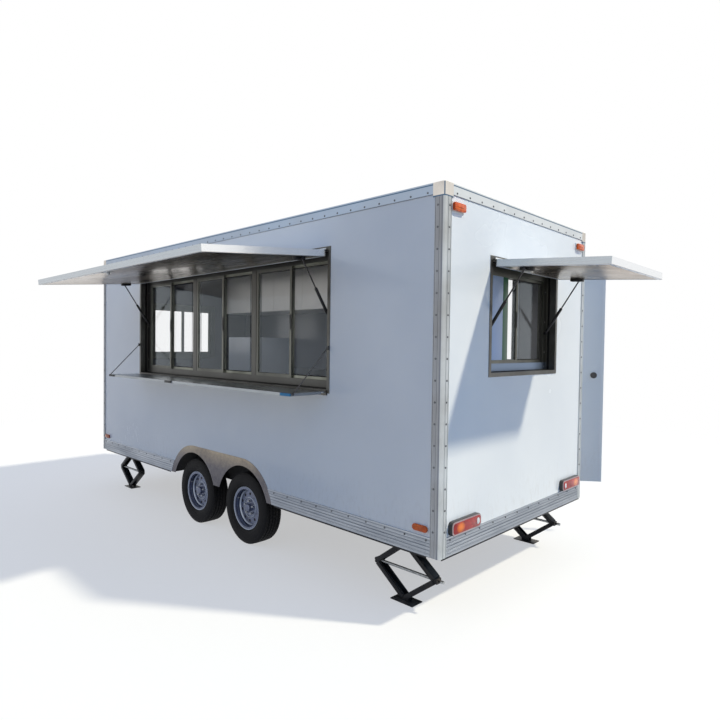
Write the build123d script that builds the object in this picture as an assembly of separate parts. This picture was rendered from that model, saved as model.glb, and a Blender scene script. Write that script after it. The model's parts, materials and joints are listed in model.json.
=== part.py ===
"""Tandem-axle food trailer with a flap over its serving windows and a flap over its rear window.

Origin at the centre of the tow ball. +X points forward, +Y to the serving side, +Z up. Millimetres.
"""
from build123d import *
import os
from math import atan2, cos, degrees, hypot, radians, sin

os.makedirs("parts", exist_ok=True)

# Body: a closed box on a low chassis
BOX_LENGTH = 5000.0
BOX_WIDTH = 2070.0
BOX_HEIGHT = 2270.0
BOX_CLEARANCE = 430.0          # ground to the underside of the bottom rails
COUPLING_HEIGHT = 430.0        # ground to the centre of the tow ball
DRAWBAR_REACH = 1250.0         # tow ball to the front of the body
WALL = 30.0
ROOF = 35.0
FLOOR = 25.0
TRIM = 6.0                     # depth of the posts and rails outside the panels
CORNER_RADIUS = 26.0
POST_FLANGE = 72.0
TOP_RAIL = 70.0
BOTTOM_RAIL = 120.0
CORNER_CAP = 88.0
EDGE_ROUND = 4.0               # bevelled top edge of rails and caps
GROOVE_DEPTH = 2.0
GROOVE_WIDTH = 7.0
PANEL_FOOT = 8.0               # wall panels end this far above the rails' underside
OVERRUN = 10.0                 # how far every cut runs past the face that it cuts

# Wheels and axles
AXLE_GROUP_FROM_REAR = 2465.0
AXLE_SPACING = 800.0
TYRE_RADIUS = 304.0
TYRE_WIDTH = 178.0
TYRE_INSET = 30.0              # tyre's outer face inside the body's side
BEAD_RADIUS = 166.0
RIM_FLANGE_RADIUS = 182.0
RIM_WIDTH = 140.0
RIM_SHEET = 4.0
RIM_WELL_DEPTH = 22.0
RIM_WELL_WIDTH = 52.0
DISC_SHEET = 5.0
DISC_OFFSET = 30.0             # mounting face outside the wheel's middle plane
DISC_DISH = 22.0
DISC_SEAT_RADIUS = 74.0
VENT_RADIUS = 13.0
VENT_COUNT = 10
VENT_CIRCLE = 116.0
NUT_RADIUS = 10.5
NUT_LENGTH = 16.0
NUT_COUNT = 5
NUT_CIRCLE = 56.0
DRUM_RADIUS = 125.0
DRUM_LENGTH = 57.0
DRUM_GAP = 5.0                 # drum to the plate behind it
BACK_PLATE = 3.0
HUB_RADIUS = 33.0
HUB_CAP_LENGTH = 34.0
BEAM_SIZE = 70.0
ARM_THICKNESS = 25.0
ARM_GAP = 10.0                 # arm outside the main rail
ARM_REACH = 145.0
ARM_DEPTH = 42.0
SPINDLE_RADIUS = 19.0
RUNNING_GAP = 0.5
ARCH_CUT_RADIUS = 372.0
ARCH_OUTER_RADIUS = 438.0
ARCH_SHEET = 3.0
ARCH_OVERLAP = 14.0            # outer arch plate laps over the wall's cut-out
WHEEL_BOX_GAP = 30.0           # tyre's inner face to the wheel box's inner plate

# Chassis, drawbar, coupling and jockey wheel
RAIL_HEIGHT = 100.0
RAIL_WIDTH = 50.0
CHASSIS_DROP = 10.0            # chassis underside below the bottom rails
MAIN_RAIL_GAP = 67.0           # main rail's outer face to the tyre's inner face
EDGE_RAIL_INSET = 45.0         # edge rail's outer face inside the body's side
CROSS_HEIGHT = 60.0
CROSS_WIDTH = 40.0
DRAWBAR_ANGLE = 25.0
DRAWBAR_APEX = 190.0           # apex of the drawbar behind the tow ball
DRAWBAR_OVERLAP = 430.0        # drawbar's length under the body
DRAWBAR_BRACE_FROM_BALL = 640.0
SOCKET_RADIUS = 25.3
SOCKET_SKIRT = 20.0
SOCKET_WALL = 7.0
COUPLER_WIDTH = 70.0
COUPLER_HEIGHT = 46.0
COUPLER_PLATE = 8.0
LEVER_LENGTH = 150.0
LEVER_WIDTH = 24.0
LEVER_RISE = 38.0
JOCKEY_TUBE_RADIUS = 24.0
JOCKEY_STEM_RADIUS = 20.0
JOCKEY_TUBE_TOP = 230.0        # above the drawbar's top
JOCKEY_TUBE_FOOT = 60.0        # below the drawbar's underside
JOCKEY_WHEEL_RADIUS = 100.0
JOCKEY_WHEEL_WIDTH = 52.0
JOCKEY_SIDE_GAP = 5.0          # wheel to each cheek of the fork
JOCKEY_TRAIL = 42.0
JOCKEY_FORK_SHEET = 6.0
JOCKEY_AXLE_RADIUS = 7.0
JOCKEY_HUB_RADIUS = 20.0
CRANK_REACH = 110.0
CRANK_BAR = 7.0
CRANK_GRIP = 90.0
CLAMP_WIDTH = 76.0
CLAMP_DEPTH = 66.0
CLAMP_HEIGHT = 60.0

# Scissor jacks
JACK_FROM_END = 400.0
JACK_INSET = 190.0
JACK_SPREAD = 500.0
JACK_BAR = 34.0
JACK_SHEET = 5.0
JACK_GAUGE = 46.0
JACK_EYE_SHARE = 0.6           # a bar's length past its two pins, as a share of its height
JACK_PIN_RADIUS = 8.0
JACK_FOOT_LENGTH = 190.0
JACK_FOOT_WIDTH = 110.0
JACK_FOOT_SHEET = 6.0
JACK_HEAD_LENGTH = 120.0
JACK_HEAD_HEIGHT = 24.0
JACK_SCREW_RADIUS = 9.0
JACK_NUT_LENGTH = 34.0

# Serving side: opening, windows, flap and fold-out shelf
SERVING_FROM_REAR = 1010.0
SERVING_WIDTH = 2980.0
SERVING_SILL = 962.0           # above the rails' underside
SERVING_HEAD = 300.0           # top of the opening below the roof
SERVING_BAYS = 3
LINING = 4.0
LINING_FLANGE = 24.0
WINDOW_SETBACK = 78.0          # window frame's outer face inside the body's side
WINDOW_DEPTH = 40.0
WINDOW_MEMBER = 58.0
WINDOW_MULLION = 64.0
WINDOW_INTERLOCK = 26.0
SASH_BAR = 24.0
SASH_DEPTH = 16.0
GLASS = 5.0
SILL_PROFILE_HEIGHT = 38.0
SILL_PROFILE_DEPTH = 8.0

# Both flaps
FLAP_DEPTH = 45.0
FLAP_SKIN = 15.0
FLAP_MEMBER = 26.0
FLAP_GAP = 5.0
FLAP_HINGE_OUT = 8.0           # hinge line outside the body's side
FLAP_HINGE_UP = 6.0            # hinge line above the opening
FLAP_BARREL_RADIUS = 6.0
FLAP_LEAF = 3.0
SIDE_FLAP_ANGLE = 84.6
REAR_FLAP_ANGLE = 86.0

# Gas struts of both flaps
STRUT_INSET = 54.0             # strut's axis inside the opening's edge
STRUT_TUBE_RADIUS = 11.0
STRUT_ROD_RADIUS = 5.0
STRUT_ROD_GAP = 0.3
STRUT_EYE_RADIUS = 9.0
STRUT_EYE_WIDTH = 12.0
STRUT_TUBE_LENGTH = 210.0
STRUT_TUBE_FOOT = 20.0         # pivot to the tube's lower end
STRUT_TUBE_END = 3.0
STRUT_ROD_LENGTH = 250.0
STRUT_STAND_OFF = 17.0         # pivots off the window frame
STRUT_SIDE_GAP = 1.0           # upper eye outside the lower pivot's line when closed
STRUT_EYE_DROP = 196.0         # upper eye below the hinge line when closed
SIDE_STRUT_FOOT = 470.0        # lower pivot below the opening's top
REAR_STRUT_FOOT = 470.0
PIVOT_GAP = 0.3
PIVOT_STUD_RADIUS = 4.0
STRUT_STUD = 3.0
BRACKET_WIDTH = 52.0
BRACKET_LENGTH = 96.0
BRACKET_SHEET = 5.0

# Fold-out shelf under the serving windows
SHELF_DEPTH = 300.0
SHELF_SHEET = 3.0
SHELF_LIP = 20.0
SHELF_OVERHANG = 1.0           # shelf's end inside the opening's end
SHELF_HINGE_RADIUS = 6.0
SHELF_HINGE_DROP = 14.0        # hinge line below the opening's sill
SHELF_HINGE_OUT = 28.0
SHELF_RIBS = 3
SHELF_NOTCH = 24.0              # lips and ribs stop this far from the hinge line
SHELF_PAD_LENGTH = 110.0
SHELF_PAD_DEPTH = 8.0
STAY_RADIUS = 4.0
STAY_RISE = 318.0
STAY_OUTSIDE = 12.0            # stay's axis beyond the opening's end
STAY_EYE_RADIUS = 8.0
STAY_EYE_WIDTH = 10.0
STAY_BRACKET = 28.0

# Rear and front windows
END_WINDOW_WIDTH = 960.0
REAR_WINDOW_HEIGHT = 760.0
REAR_WINDOW_HEAD = 400.0       # below the roof
FRONT_WINDOW_HEIGHT = 715.0
FRONT_WINDOW_HEAD = 470.0
END_WINDOW_SETBACK = 78.0
END_WINDOW_DEPTH = 36.0
END_WINDOW_MEMBER = 58.0

# Door in the right wall, hinged at its rear jamb
DOOR_FROM_REAR = 600.0
DOOR_WIDTH = 764.0
DOOR_FOOT = 44.0
DOOR_HEAD = 306.0              # top of the doorway below the roof
DOOR_THICKNESS = 34.0
DOOR_EDGE = 28.0
DOOR_GAP = 5.0
DOOR_ANGLE = 143.0
DOOR_HINGE_OUT = 9.0
DOOR_BARREL_RADIUS = 8.0
DOOR_BARREL_LENGTH = 90.0
DOOR_KNUCKLE = 18.0
DOOR_LINING = 6.0
DOOR_STOP = 14.0
DOOR_LOCK_RADIUS = 28.0
DOOR_LOCK_HEIGHT = 1040.0
DOOR_LOCK_FROM_EDGE = 90.0
DOOR_LOCK_DEPTH = 12.0
DOOR_LEVER_LENGTH = 110.0

# Lamps
TAIL_LAMP_LENGTH = 325.0
TAIL_LAMP_HEIGHT = 88.0
TAIL_LAMP_DEPTH = 34.0
TAIL_LAMP_LOW = 125.0
TAIL_LAMP_FROM_SIDE = 96.0
MARKER_LENGTH = 126.0
MARKER_HEIGHT = 56.0
MARKER_DEPTH = 26.0
MARKER_FROM_SIDE = 142.0
MARKER_BELOW_TOP = 138.0
SIDE_MARKER_LENGTH = 118.0
SIDE_MARKER_HEIGHT = 40.0
SIDE_MARKER_DEPTH = 18.0
SIDE_MARKER_FROM_END = 146.0
SIDE_MARKER_UP = 146.0

# Kitchen pieces that show through the windows and the doorway
COUNTER_HEIGHT = 900.0         # worktop above the rails' underside
WORKTOP = 30.0
WORKTOP_NOSE = 20.0
LEFT_COUNTER_DEPTH = 460.0
RIGHT_COUNTER_DEPTH = 560.0
RIGHT_COUNTER_FROM_REAR = 1700.0
FRIDGE_FROM_FRONT = 520.0      # fridge's front side behind the body's front
FRIDGE_WIDTH = 560.0
FRIDGE_DEPTH = 600.0
FRIDGE_DROP = 895.0            # top of the fridge below the roof
FRIDGE_DOOR = 45.0
FRIDGE_SEAM = 4.0
CUPBOARD_FROM_REAR = 2520.0
CUPBOARD_FROM_FRONT = 330.0
CUPBOARD_DEPTH = 540.0
CUPBOARD_DROP = 575.0          # cupboards' underside below the roof
LEFT_DOORS = 5
RIGHT_DOORS = 4
CUPBOARD_DOORS = 4
FRONT_SEAM = 4.0
HANDLE_LENGTH = 130.0
HANDLE_BAR = 10.0
HANDLE_STAND = 27.0            # handle's outer face off the door
HANDLE_DROP = 60.0             # handle below the door's top
SPLASH_HEIGHT = 80.0
GRILLE_PITCH = 14.0
GRILLE_SLOTS = 6
KICK_HEIGHT = 90.0
KICK_DEPTH = 50.0
FURNITURE_GAP = 0.5

# Places worked out from the driving dimensions
HALF = BOX_WIDTH / 2
FRONT = -DRAWBAR_REACH
REAR = FRONT - BOX_LENGTH
GROUND = -COUPLING_HEIGHT
BASE = GROUND + BOX_CLEARANCE
TOP = BASE + BOX_HEIGHT
CHASSIS_FOOT = BASE - CHASSIS_DROP
FLOOR_FOOT = CHASSIS_FOOT + RAIL_HEIGHT
FLOOR_TOP = FLOOR_FOOT + FLOOR
PANEL_FACE = HALF - TRIM
INNER_FACE = PANEL_FACE - WALL
ROOF_FOOT = TOP - TRIM - ROOF
WHEEL_Z = GROUND + TYRE_RADIUS
WHEEL_MIDDLE = REAR + AXLE_GROUP_FROM_REAR
WHEEL_X = (WHEEL_MIDDLE - AXLE_SPACING / 2, WHEEL_MIDDLE + AXLE_SPACING / 2)
WHEEL_Y = HALF - TYRE_INSET - TYRE_WIDTH / 2
DISC_Y = WHEEL_Y + DISC_OFFSET
MAIN_RAIL_Y = WHEEL_Y - TYRE_WIDTH / 2 - MAIN_RAIL_GAP - RAIL_WIDTH / 2
HOOD_RADIUS = ARCH_OUTER_RADIUS - ARCH_OVERLAP
HOOD_INNER_Y = WHEEL_Y - TYRE_WIDTH / 2 - WHEEL_BOX_GAP
SERVING_X = (REAR + SERVING_FROM_REAR, REAR + SERVING_FROM_REAR + SERVING_WIDTH)
SERVING_Z = (BASE + SERVING_SILL, TOP - SERVING_HEAD)
SERVING_U = (-SERVING_WIDTH / 2, SERVING_WIDTH / 2)
END_WINDOW_Y = (-END_WINDOW_WIDTH / 2, END_WINDOW_WIDTH / 2)
REAR_WINDOW_Z = (TOP - REAR_WINDOW_HEAD - REAR_WINDOW_HEIGHT, TOP - REAR_WINDOW_HEAD)
FRONT_WINDOW_Z = (TOP - FRONT_WINDOW_HEAD - FRONT_WINDOW_HEIGHT, TOP - FRONT_WINDOW_HEAD)
DOOR_X = (REAR + DOOR_FROM_REAR, REAR + DOOR_FROM_REAR + DOOR_WIDTH)
DOOR_Z = (BASE + DOOR_FOOT, TOP - DOOR_HEAD)
DOOR_STOP_Y = (DOOR_THICKNESS + DOOR_GAP - HALF, DOOR_THICKNESS + DOOR_GAP + DOOR_LINING - HALF)
DRAWBAR_TOP = CHASSIS_FOOT
DRAWBAR_FOOT = DRAWBAR_TOP - RAIL_HEIGHT


def block(x, y, z):
    """A box between three pairs of limits."""
    size = [high - low for low, high in (x, y, z)]
    middle = [(low + high) / 2 for low, high in (x, y, z)]
    return Pos(*middle) * Box(*size)


def rod_x(radius, x, y, z):
    """A round bar along X between the pair x."""
    return Pos((x[0] + x[1]) / 2, y, z) * Rot(0, 90, 0) * Cylinder(radius, x[1] - x[0])


def rod_y(radius, x, y, z):
    """A round bar along Y between the pair y."""
    return Pos(x, (y[0] + y[1]) / 2, z) * Rot(90, 0, 0) * Cylinder(radius, y[1] - y[0])


def rod_z(radius, x, y, z):
    """A round bar along Z between the pair z."""
    return Pos(x, y, (z[0] + z[1]) / 2) * Cylinder(radius, z[1] - z[0])


def other_side(shape):
    """The same piece on the other side of the trailer's middle plane."""
    return mirror(shape, about=Plane.XZ)


def prism(inset, z):
    """The body's outline with round corners, drawn in by inset, between the pair z."""
    plan = RectangleRounded(BOX_LENGTH - 2 * inset, BOX_WIDTH - 2 * inset, CORNER_RADIUS - inset)
    return Pos((REAR + FRONT) / 2, 0, z[0]) * extrude(plan, z[1] - z[0])


def save(node, *pieces):
    """Write the solids of one node."""
    solids = [solid for piece in pieces for solid in piece.solids()]
    export_step(solids[0] if len(solids) == 1 else Compound(solids), f"parts/{node}.step")


def turned(shape, axis, angle):
    """The piece turned about a line, in degrees."""
    return shape.rotate(axis, angle)


def arch_form(radius, y):
    """Flat-topped double hump over both wheels, open below, between the pair y."""
    humps = [rod_y(radius, x, y, WHEEL_Z) for x in WHEEL_X]
    bridge = block(WHEEL_X, y, (BASE, WHEEL_Z + radius))
    past = (y[0] - OVERRUN, y[1] + OVERRUN)
    below = block((REAR, FRONT), past, (WHEEL_Z - radius - OVERRUN, BASE))
    return humps[0] + humps[1] + bridge - below


# Wall, floor and roof panels
def wall_openings():
    """Each wall's cut-outs, as boxes or forms that run through it."""
    through = (INNER_FACE - OVERRUN, HALF + OVERRUN)
    rear = (REAR - OVERRUN, REAR + TRIM + WALL + OVERRUN)
    front = (FRONT - TRIM - WALL - OVERRUN, FRONT + OVERRUN)
    arch = arch_form(HOOD_RADIUS, through)
    return {
        "left": block(SERVING_X, through, SERVING_Z) + arch,
        "right": block(DOOR_X, (-through[1], -through[0]), (BASE - OVERRUN, DOOR_Z[1])) + other_side(arch),
        "rear": block(rear, END_WINDOW_Y, REAR_WINDOW_Z),
        "front": block(front, END_WINDOW_Y, FRONT_WINDOW_Z),
    }


def panels():
    """Four wall panels, the floor and the roof."""
    height = (BASE + PANEL_FOOT, ROOF_FOOT)
    body = prism(TRIM, height)
    cuts = wall_openings()
    side = block((REAR, FRONT), (INNER_FACE, HALF), height) & body
    save("left_wall", side - cuts["left"])
    save("right_wall", other_side(side) - cuts["right"])
    between = (-INNER_FACE, INNER_FACE)
    rear = block((REAR + TRIM, REAR + TRIM + WALL), between, height)
    front = block((FRONT - TRIM - WALL, FRONT - TRIM), between, height)
    save("rear_wall", rear - cuts["rear"])
    save("front_wall", front - cuts["front"])
    save("roof_panel", prism(TRIM, (ROOF_FOOT, TOP - TRIM)))
    inside = (REAR + TRIM + WALL, FRONT - TRIM - WALL)
    floor = block(inside, between, (FLOOR_FOOT, FLOOR_TOP))
    hood = arch_form(HOOD_RADIUS, (HOOD_INNER_Y, HALF))
    doorway = block(DOOR_X, (-HALF, DOOR_STOP_Y[1]), (FLOOR_FOOT - OVERRUN, FLOOR_TOP + OVERRUN))
    save("floor_panel", floor - hood - other_side(hood) - doorway)


# Aluminium posts, rails and caps outside the panels
def trims():
    """Corner posts, bottom rails, top rails and corner caps."""
    full = (BASE, TOP)
    skin = prism(0, full) - prism(TRIM, (BASE - OVERRUN, TOP + OVERRUN))
    corners = [(x, y) for x in ((REAR, REAR + POST_FLANGE), (FRONT - POST_FLANGE, FRONT))
               for y in ((-HALF, POST_FLANGE - HALF), (HALF - POST_FLANGE, HALF))]
    post_height = (BASE, TOP - CORNER_CAP)
    posts = [skin & block(x, y, post_height) for x, y in corners]
    grooves = post_grooves(post_height)
    save("corner_posts", *[post - grooves for post in posts])

    ends = [block(x, y, full) for x, y in corners]
    rail = skin & block((REAR, FRONT), (-HALF, HALF), (BASE, BASE + BOTTOM_RAIL))
    rail = rail - ends - rail_grooves()
    plate = arch_form(ARCH_OUTER_RADIUS, (INNER_FACE, HALF + OVERRUN))
    doorway = block(DOOR_X, (-HALF - OVERRUN, -INNER_FACE), (BASE - OVERRUN, DOOR_Z[1]))
    save("bottom_rails", rail - plate - other_side(plate) - doorway)

    crown = prism(0, (TOP - CORNER_CAP, TOP))
    rim = crown.faces().sort_by(Axis.Z)[-1].edges()
    crown = chamfer(rim, EDGE_ROUND)
    crown = crown - prism(TRIM, (TOP - CORNER_CAP - OVERRUN, TOP - TRIM))
    crown = crown - prism_hole(POST_FLANGE)
    caps = [crown & block(x, y, full) for x, y in cap_places()]
    save("corner_caps", *caps)
    below = block((REAR, FRONT), (-HALF, HALF), (TOP - CORNER_CAP - OVERRUN, TOP - TOP_RAIL))
    save("top_rails", crown - [block(x, y, full) for x, y in cap_places()] - below)


def cap_places():
    """Plan limits of the four corner caps."""
    return [(x, y) for x in ((REAR, REAR + CORNER_CAP), (FRONT - CORNER_CAP, FRONT))
            for y in ((-HALF, CORNER_CAP - HALF), (HALF - CORNER_CAP, HALF))]


def prism_hole(flange):
    """What the top rails' flange leaves open over the roof."""
    x = (REAR + flange, FRONT - flange)
    y = (flange - HALF, HALF - flange)
    return block(x, y, (TOP - CORNER_CAP - OVERRUN, TOP + OVERRUN))


def post_grooves(height):
    """Two shallow grooves down each face of the corner posts."""
    cuts = []
    for share in GROOVE_SHARES:
        away = POST_FLANGE * share
        for x in (REAR + away, FRONT - away):
            pair = (x - GROOVE_WIDTH / 2, x + GROOVE_WIDTH / 2)
            for side in (-HALF, HALF):
                cuts.append(block(pair, (side - GROOVE_DEPTH, side + GROOVE_DEPTH), height))
        for y in (away - HALF, HALF - away):
            pair = (y - GROOVE_WIDTH / 2, y + GROOVE_WIDTH / 2)
            for end in (REAR, FRONT):
                cuts.append(block((end - GROOVE_DEPTH, end + GROOVE_DEPTH), pair, height))
    return cuts


# Middles of the grooves, as shares of the post's flange and of the bottom rail's height
GROOVE_SHARES = (0.5, 0.9)
RAIL_GROOVE_SHARES = (0.14, 0.42, 0.58, 0.86)


def rail_grooves():
    """Long grooves round the bottom rails."""
    cuts = []
    for share in RAIL_GROOVE_SHARES:
        z = BASE + BOTTOM_RAIL * share
        band = (z - GROOVE_WIDTH / 2, z + GROOVE_WIDTH / 2)
        cuts.append(prism(-OVERRUN, band) - prism(GROOVE_DEPTH, (band[0] - OVERRUN, band[1] + OVERRUN)))
    return cuts


# Wheel boxes with their outer arch plates
def wheel_boxes():
    """Sheet hood over each pair of wheels, and the plate outside the wall."""
    hood = arch_form(HOOD_RADIUS, (HOOD_INNER_Y, PANEL_FACE))
    room = arch_form(HOOD_RADIUS - ARCH_SHEET, (HOOD_INNER_Y + ARCH_SHEET, PANEL_FACE + OVERRUN))
    face = (PANEL_FACE, PANEL_FACE + ARCH_SHEET)
    plate = arch_form(ARCH_OUTER_RADIUS, face)
    past = (face[0] - OVERRUN, face[1] + OVERRUN)
    plate = plate - [rod_y(ARCH_CUT_RADIUS, x, past, WHEEL_Z) for x in WHEEL_X]
    left = hood - room + plate
    save("wheel_box_left", left)
    save("wheel_box_right", other_side(left))


# Chassis and drawbar
CROSS_SHARES = (0.2, 0.3, 0.4, 0.6, 0.7, 0.8)


def chassis():
    """Main rails, crossmembers between them, and the outriggers that carry the sides."""
    height = (CHASSIS_FOOT, FLOOR_FOOT)
    x = (REAR + TRIM + WALL, FRONT - TRIM - WALL)
    rail_y = (MAIN_RAIL_Y - RAIL_WIDTH / 2, MAIN_RAIL_Y + RAIL_WIDTH / 2)
    edge_y = (HALF - EDGE_RAIL_INSET - RAIL_WIDTH, HALF - EDGE_RAIL_INSET)
    rail = block(x, rail_y, height)
    save("chassis_rails", rail, other_side(rail))

    members = [block((x[0], x[0] + RAIL_WIDTH), (-rail_y[0], rail_y[0]), height),
               block((x[1] - RAIL_WIDTH, x[1]), (-rail_y[0], rail_y[0]), height)]
    for middle in jack_x():
        cross = (middle - RAIL_WIDTH / 2, middle + RAIL_WIDTH / 2)
        members.append(block(cross, (-rail_y[0], rail_y[0]), height))
    for share in CROSS_SHARES:
        middle = x[0] + (x[1] - x[0]) * share
        cross = (middle - CROSS_WIDTH / 2, middle + CROSS_WIDTH / 2)
        members.append(block(cross, (-rail_y[0], rail_y[0]), (FLOOR_FOOT - CROSS_HEIGHT, FLOOR_FOOT)))
    save("chassis_crossmembers", *members)

    arch = (WHEEL_X[0] - HOOD_RADIUS - FURNITURE_GAP, WHEEL_X[1] + HOOD_RADIUS + FURNITURE_GAP)
    sides = []
    for run, jack_at in (((x[0], arch[0]), jack_x()[0]), ((arch[1], x[1]), jack_x()[1])):
        sides.append(block(run, edge_y, height))
        for start in (run[0], run[1] - RAIL_WIDTH, jack_at - RAIL_WIDTH / 2):
            sides.append(block((start, start + RAIL_WIDTH), (rail_y[1], edge_y[0]), height))
    save("chassis_outriggers", *sides, *[other_side(piece) for piece in sides])


def jack_x():
    """Where the rear and front jacks stand."""
    return (REAR + JACK_FROM_END, FRONT - JACK_FROM_END)


def drawbar():
    """Two rails that meet behind the coupling, with a brace between them."""
    slope = radians(DRAWBAR_ANGLE)
    run = FRONT - DRAWBAR_OVERLAP + DRAWBAR_APEX
    length = -run / cos(slope)
    rail = Pos(-length / 2, 0, 0) * Box(length, RAIL_WIDTH, RAIL_HEIGHT)
    middle = (DRAWBAR_TOP + DRAWBAR_FOOT) / 2
    left = Pos(-DRAWBAR_APEX, 0, middle) * Rot(0, 0, -DRAWBAR_ANGLE) * rail
    frame = left + other_side(left)
    half = (DRAWBAR_BRACE_FROM_BALL - DRAWBAR_APEX) * sin(slope) / cos(slope)
    x = (-DRAWBAR_BRACE_FROM_BALL - CROSS_WIDTH / 2, -DRAWBAR_BRACE_FROM_BALL + CROSS_WIDTH / 2)
    brace = block(x, (-half, half), (DRAWBAR_FOOT, DRAWBAR_TOP))
    nose = block((-DRAWBAR_APEX - RAIL_HEIGHT, -DRAWBAR_APEX + RAIL_WIDTH), (-RAIL_WIDTH, RAIL_WIDTH),
                 (DRAWBAR_FOOT, DRAWBAR_TOP))
    save("drawbar", frame + brace + nose)


def coupler():
    """Pressed socket over the tow ball, widening into a flange on the drawbar, with its lever."""
    outer = SOCKET_RADIUS + SOCKET_WALL
    back = -DRAWBAR_APEX - RAIL_HEIGHT
    plate_z = (DRAWBAR_TOP, DRAWBAR_TOP + COUPLER_PLATE)
    plate = block((back, -outer), (-COUPLER_WIDTH / 2, COUPLER_WIDTH / 2), plate_z)
    body_top = DRAWBAR_TOP + COUPLER_HEIGHT
    tail = back + COUPLER_WIDTH
    half = COUPLER_WIDTH / 2 - COUPLER_PLATE
    neck = outer * COUPLER_NECK_SHARE
    outline = Polyline((tail, -half), (0, -neck), (0, neck), (tail, half), close=True)
    body = Pos(0, 0, plate_z[0]) * extrude(make_face(outline), body_top - plate_z[0])
    body = chamfer(body.faces().sort_by(Axis.Z)[-1].edges(), COUPLER_PLATE)
    edge = outer + SOCKET_WALL / 2
    shell = [(0, -SOCKET_SKIRT), (edge, -SOCKET_SKIRT), (edge, SOCKET_WALL - SOCKET_SKIRT),
             (outer, SOCKET_WALL - SOCKET_SKIRT)] + [(outer * r, outer * z) for r, z in DOME_SHARES]
    room = [(0, -SOCKET_SKIRT - OVERRUN), (SOCKET_RADIUS, -SOCKET_SKIRT - OVERRUN)]
    room += [(SOCKET_RADIUS * r, SOCKET_RADIUS * z) for r, z in DOME_SHARES]
    dome = revolve(Plane.XZ * make_face(Polyline(*shell, close=True)), Axis.Z)
    socket = revolve(Plane.XZ * make_face(Polyline(*room, close=True)), Axis.Z)
    head = plate + body + dome - socket

    start = (-LEVER_WIDTH, body_top)
    bend = (-LEVER_WIDTH * 2, body_top + LEVER_RISE)
    end = (-LEVER_LENGTH, body_top + LEVER_RISE * LEVER_TIP_SHARE)
    side = Polyline((start[0], start[1] - OVERRUN), (start[0], start[1] + LEVER_RISE / 2), bend, end,
                    (end[0], end[1] - COUPLER_PLATE), (bend[0], bend[1] - COUPLER_PLATE * 2),
                    (bend[0] - COUPLER_PLATE, start[1] - OVERRUN), close=True)
    lever = Pos(0, LEVER_WIDTH / 2, 0) * extrude(Plane.XZ * make_face(side), LEVER_WIDTH)
    save("coupler", head + lever)


# Radius and height of the dome's rings, as shares of its radius
DOME_SHARES = ((1.0, 0.0), (0.87, 0.5), (0.5, 0.87), (0.0, 1.0))
COUPLER_NECK_SHARE = 0.8
LEVER_TIP_SHARE = 1.25


# Jockey wheel at the middle of the drawbar
JOCKEY_X = -DRAWBAR_BRACE_FROM_BALL + CROSS_WIDTH / 2 + CLAMP_DEPTH / 2
JOCKEY_AXLE_X = JOCKEY_X - JOCKEY_TRAIL
JOCKEY_AXLE_Z = GROUND + JOCKEY_WHEEL_RADIUS
JOCKEY_FORK_TOP = JOCKEY_AXLE_Z + JOCKEY_WHEEL_RADIUS + JOCKEY_FORK_SHEET * 3


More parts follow.
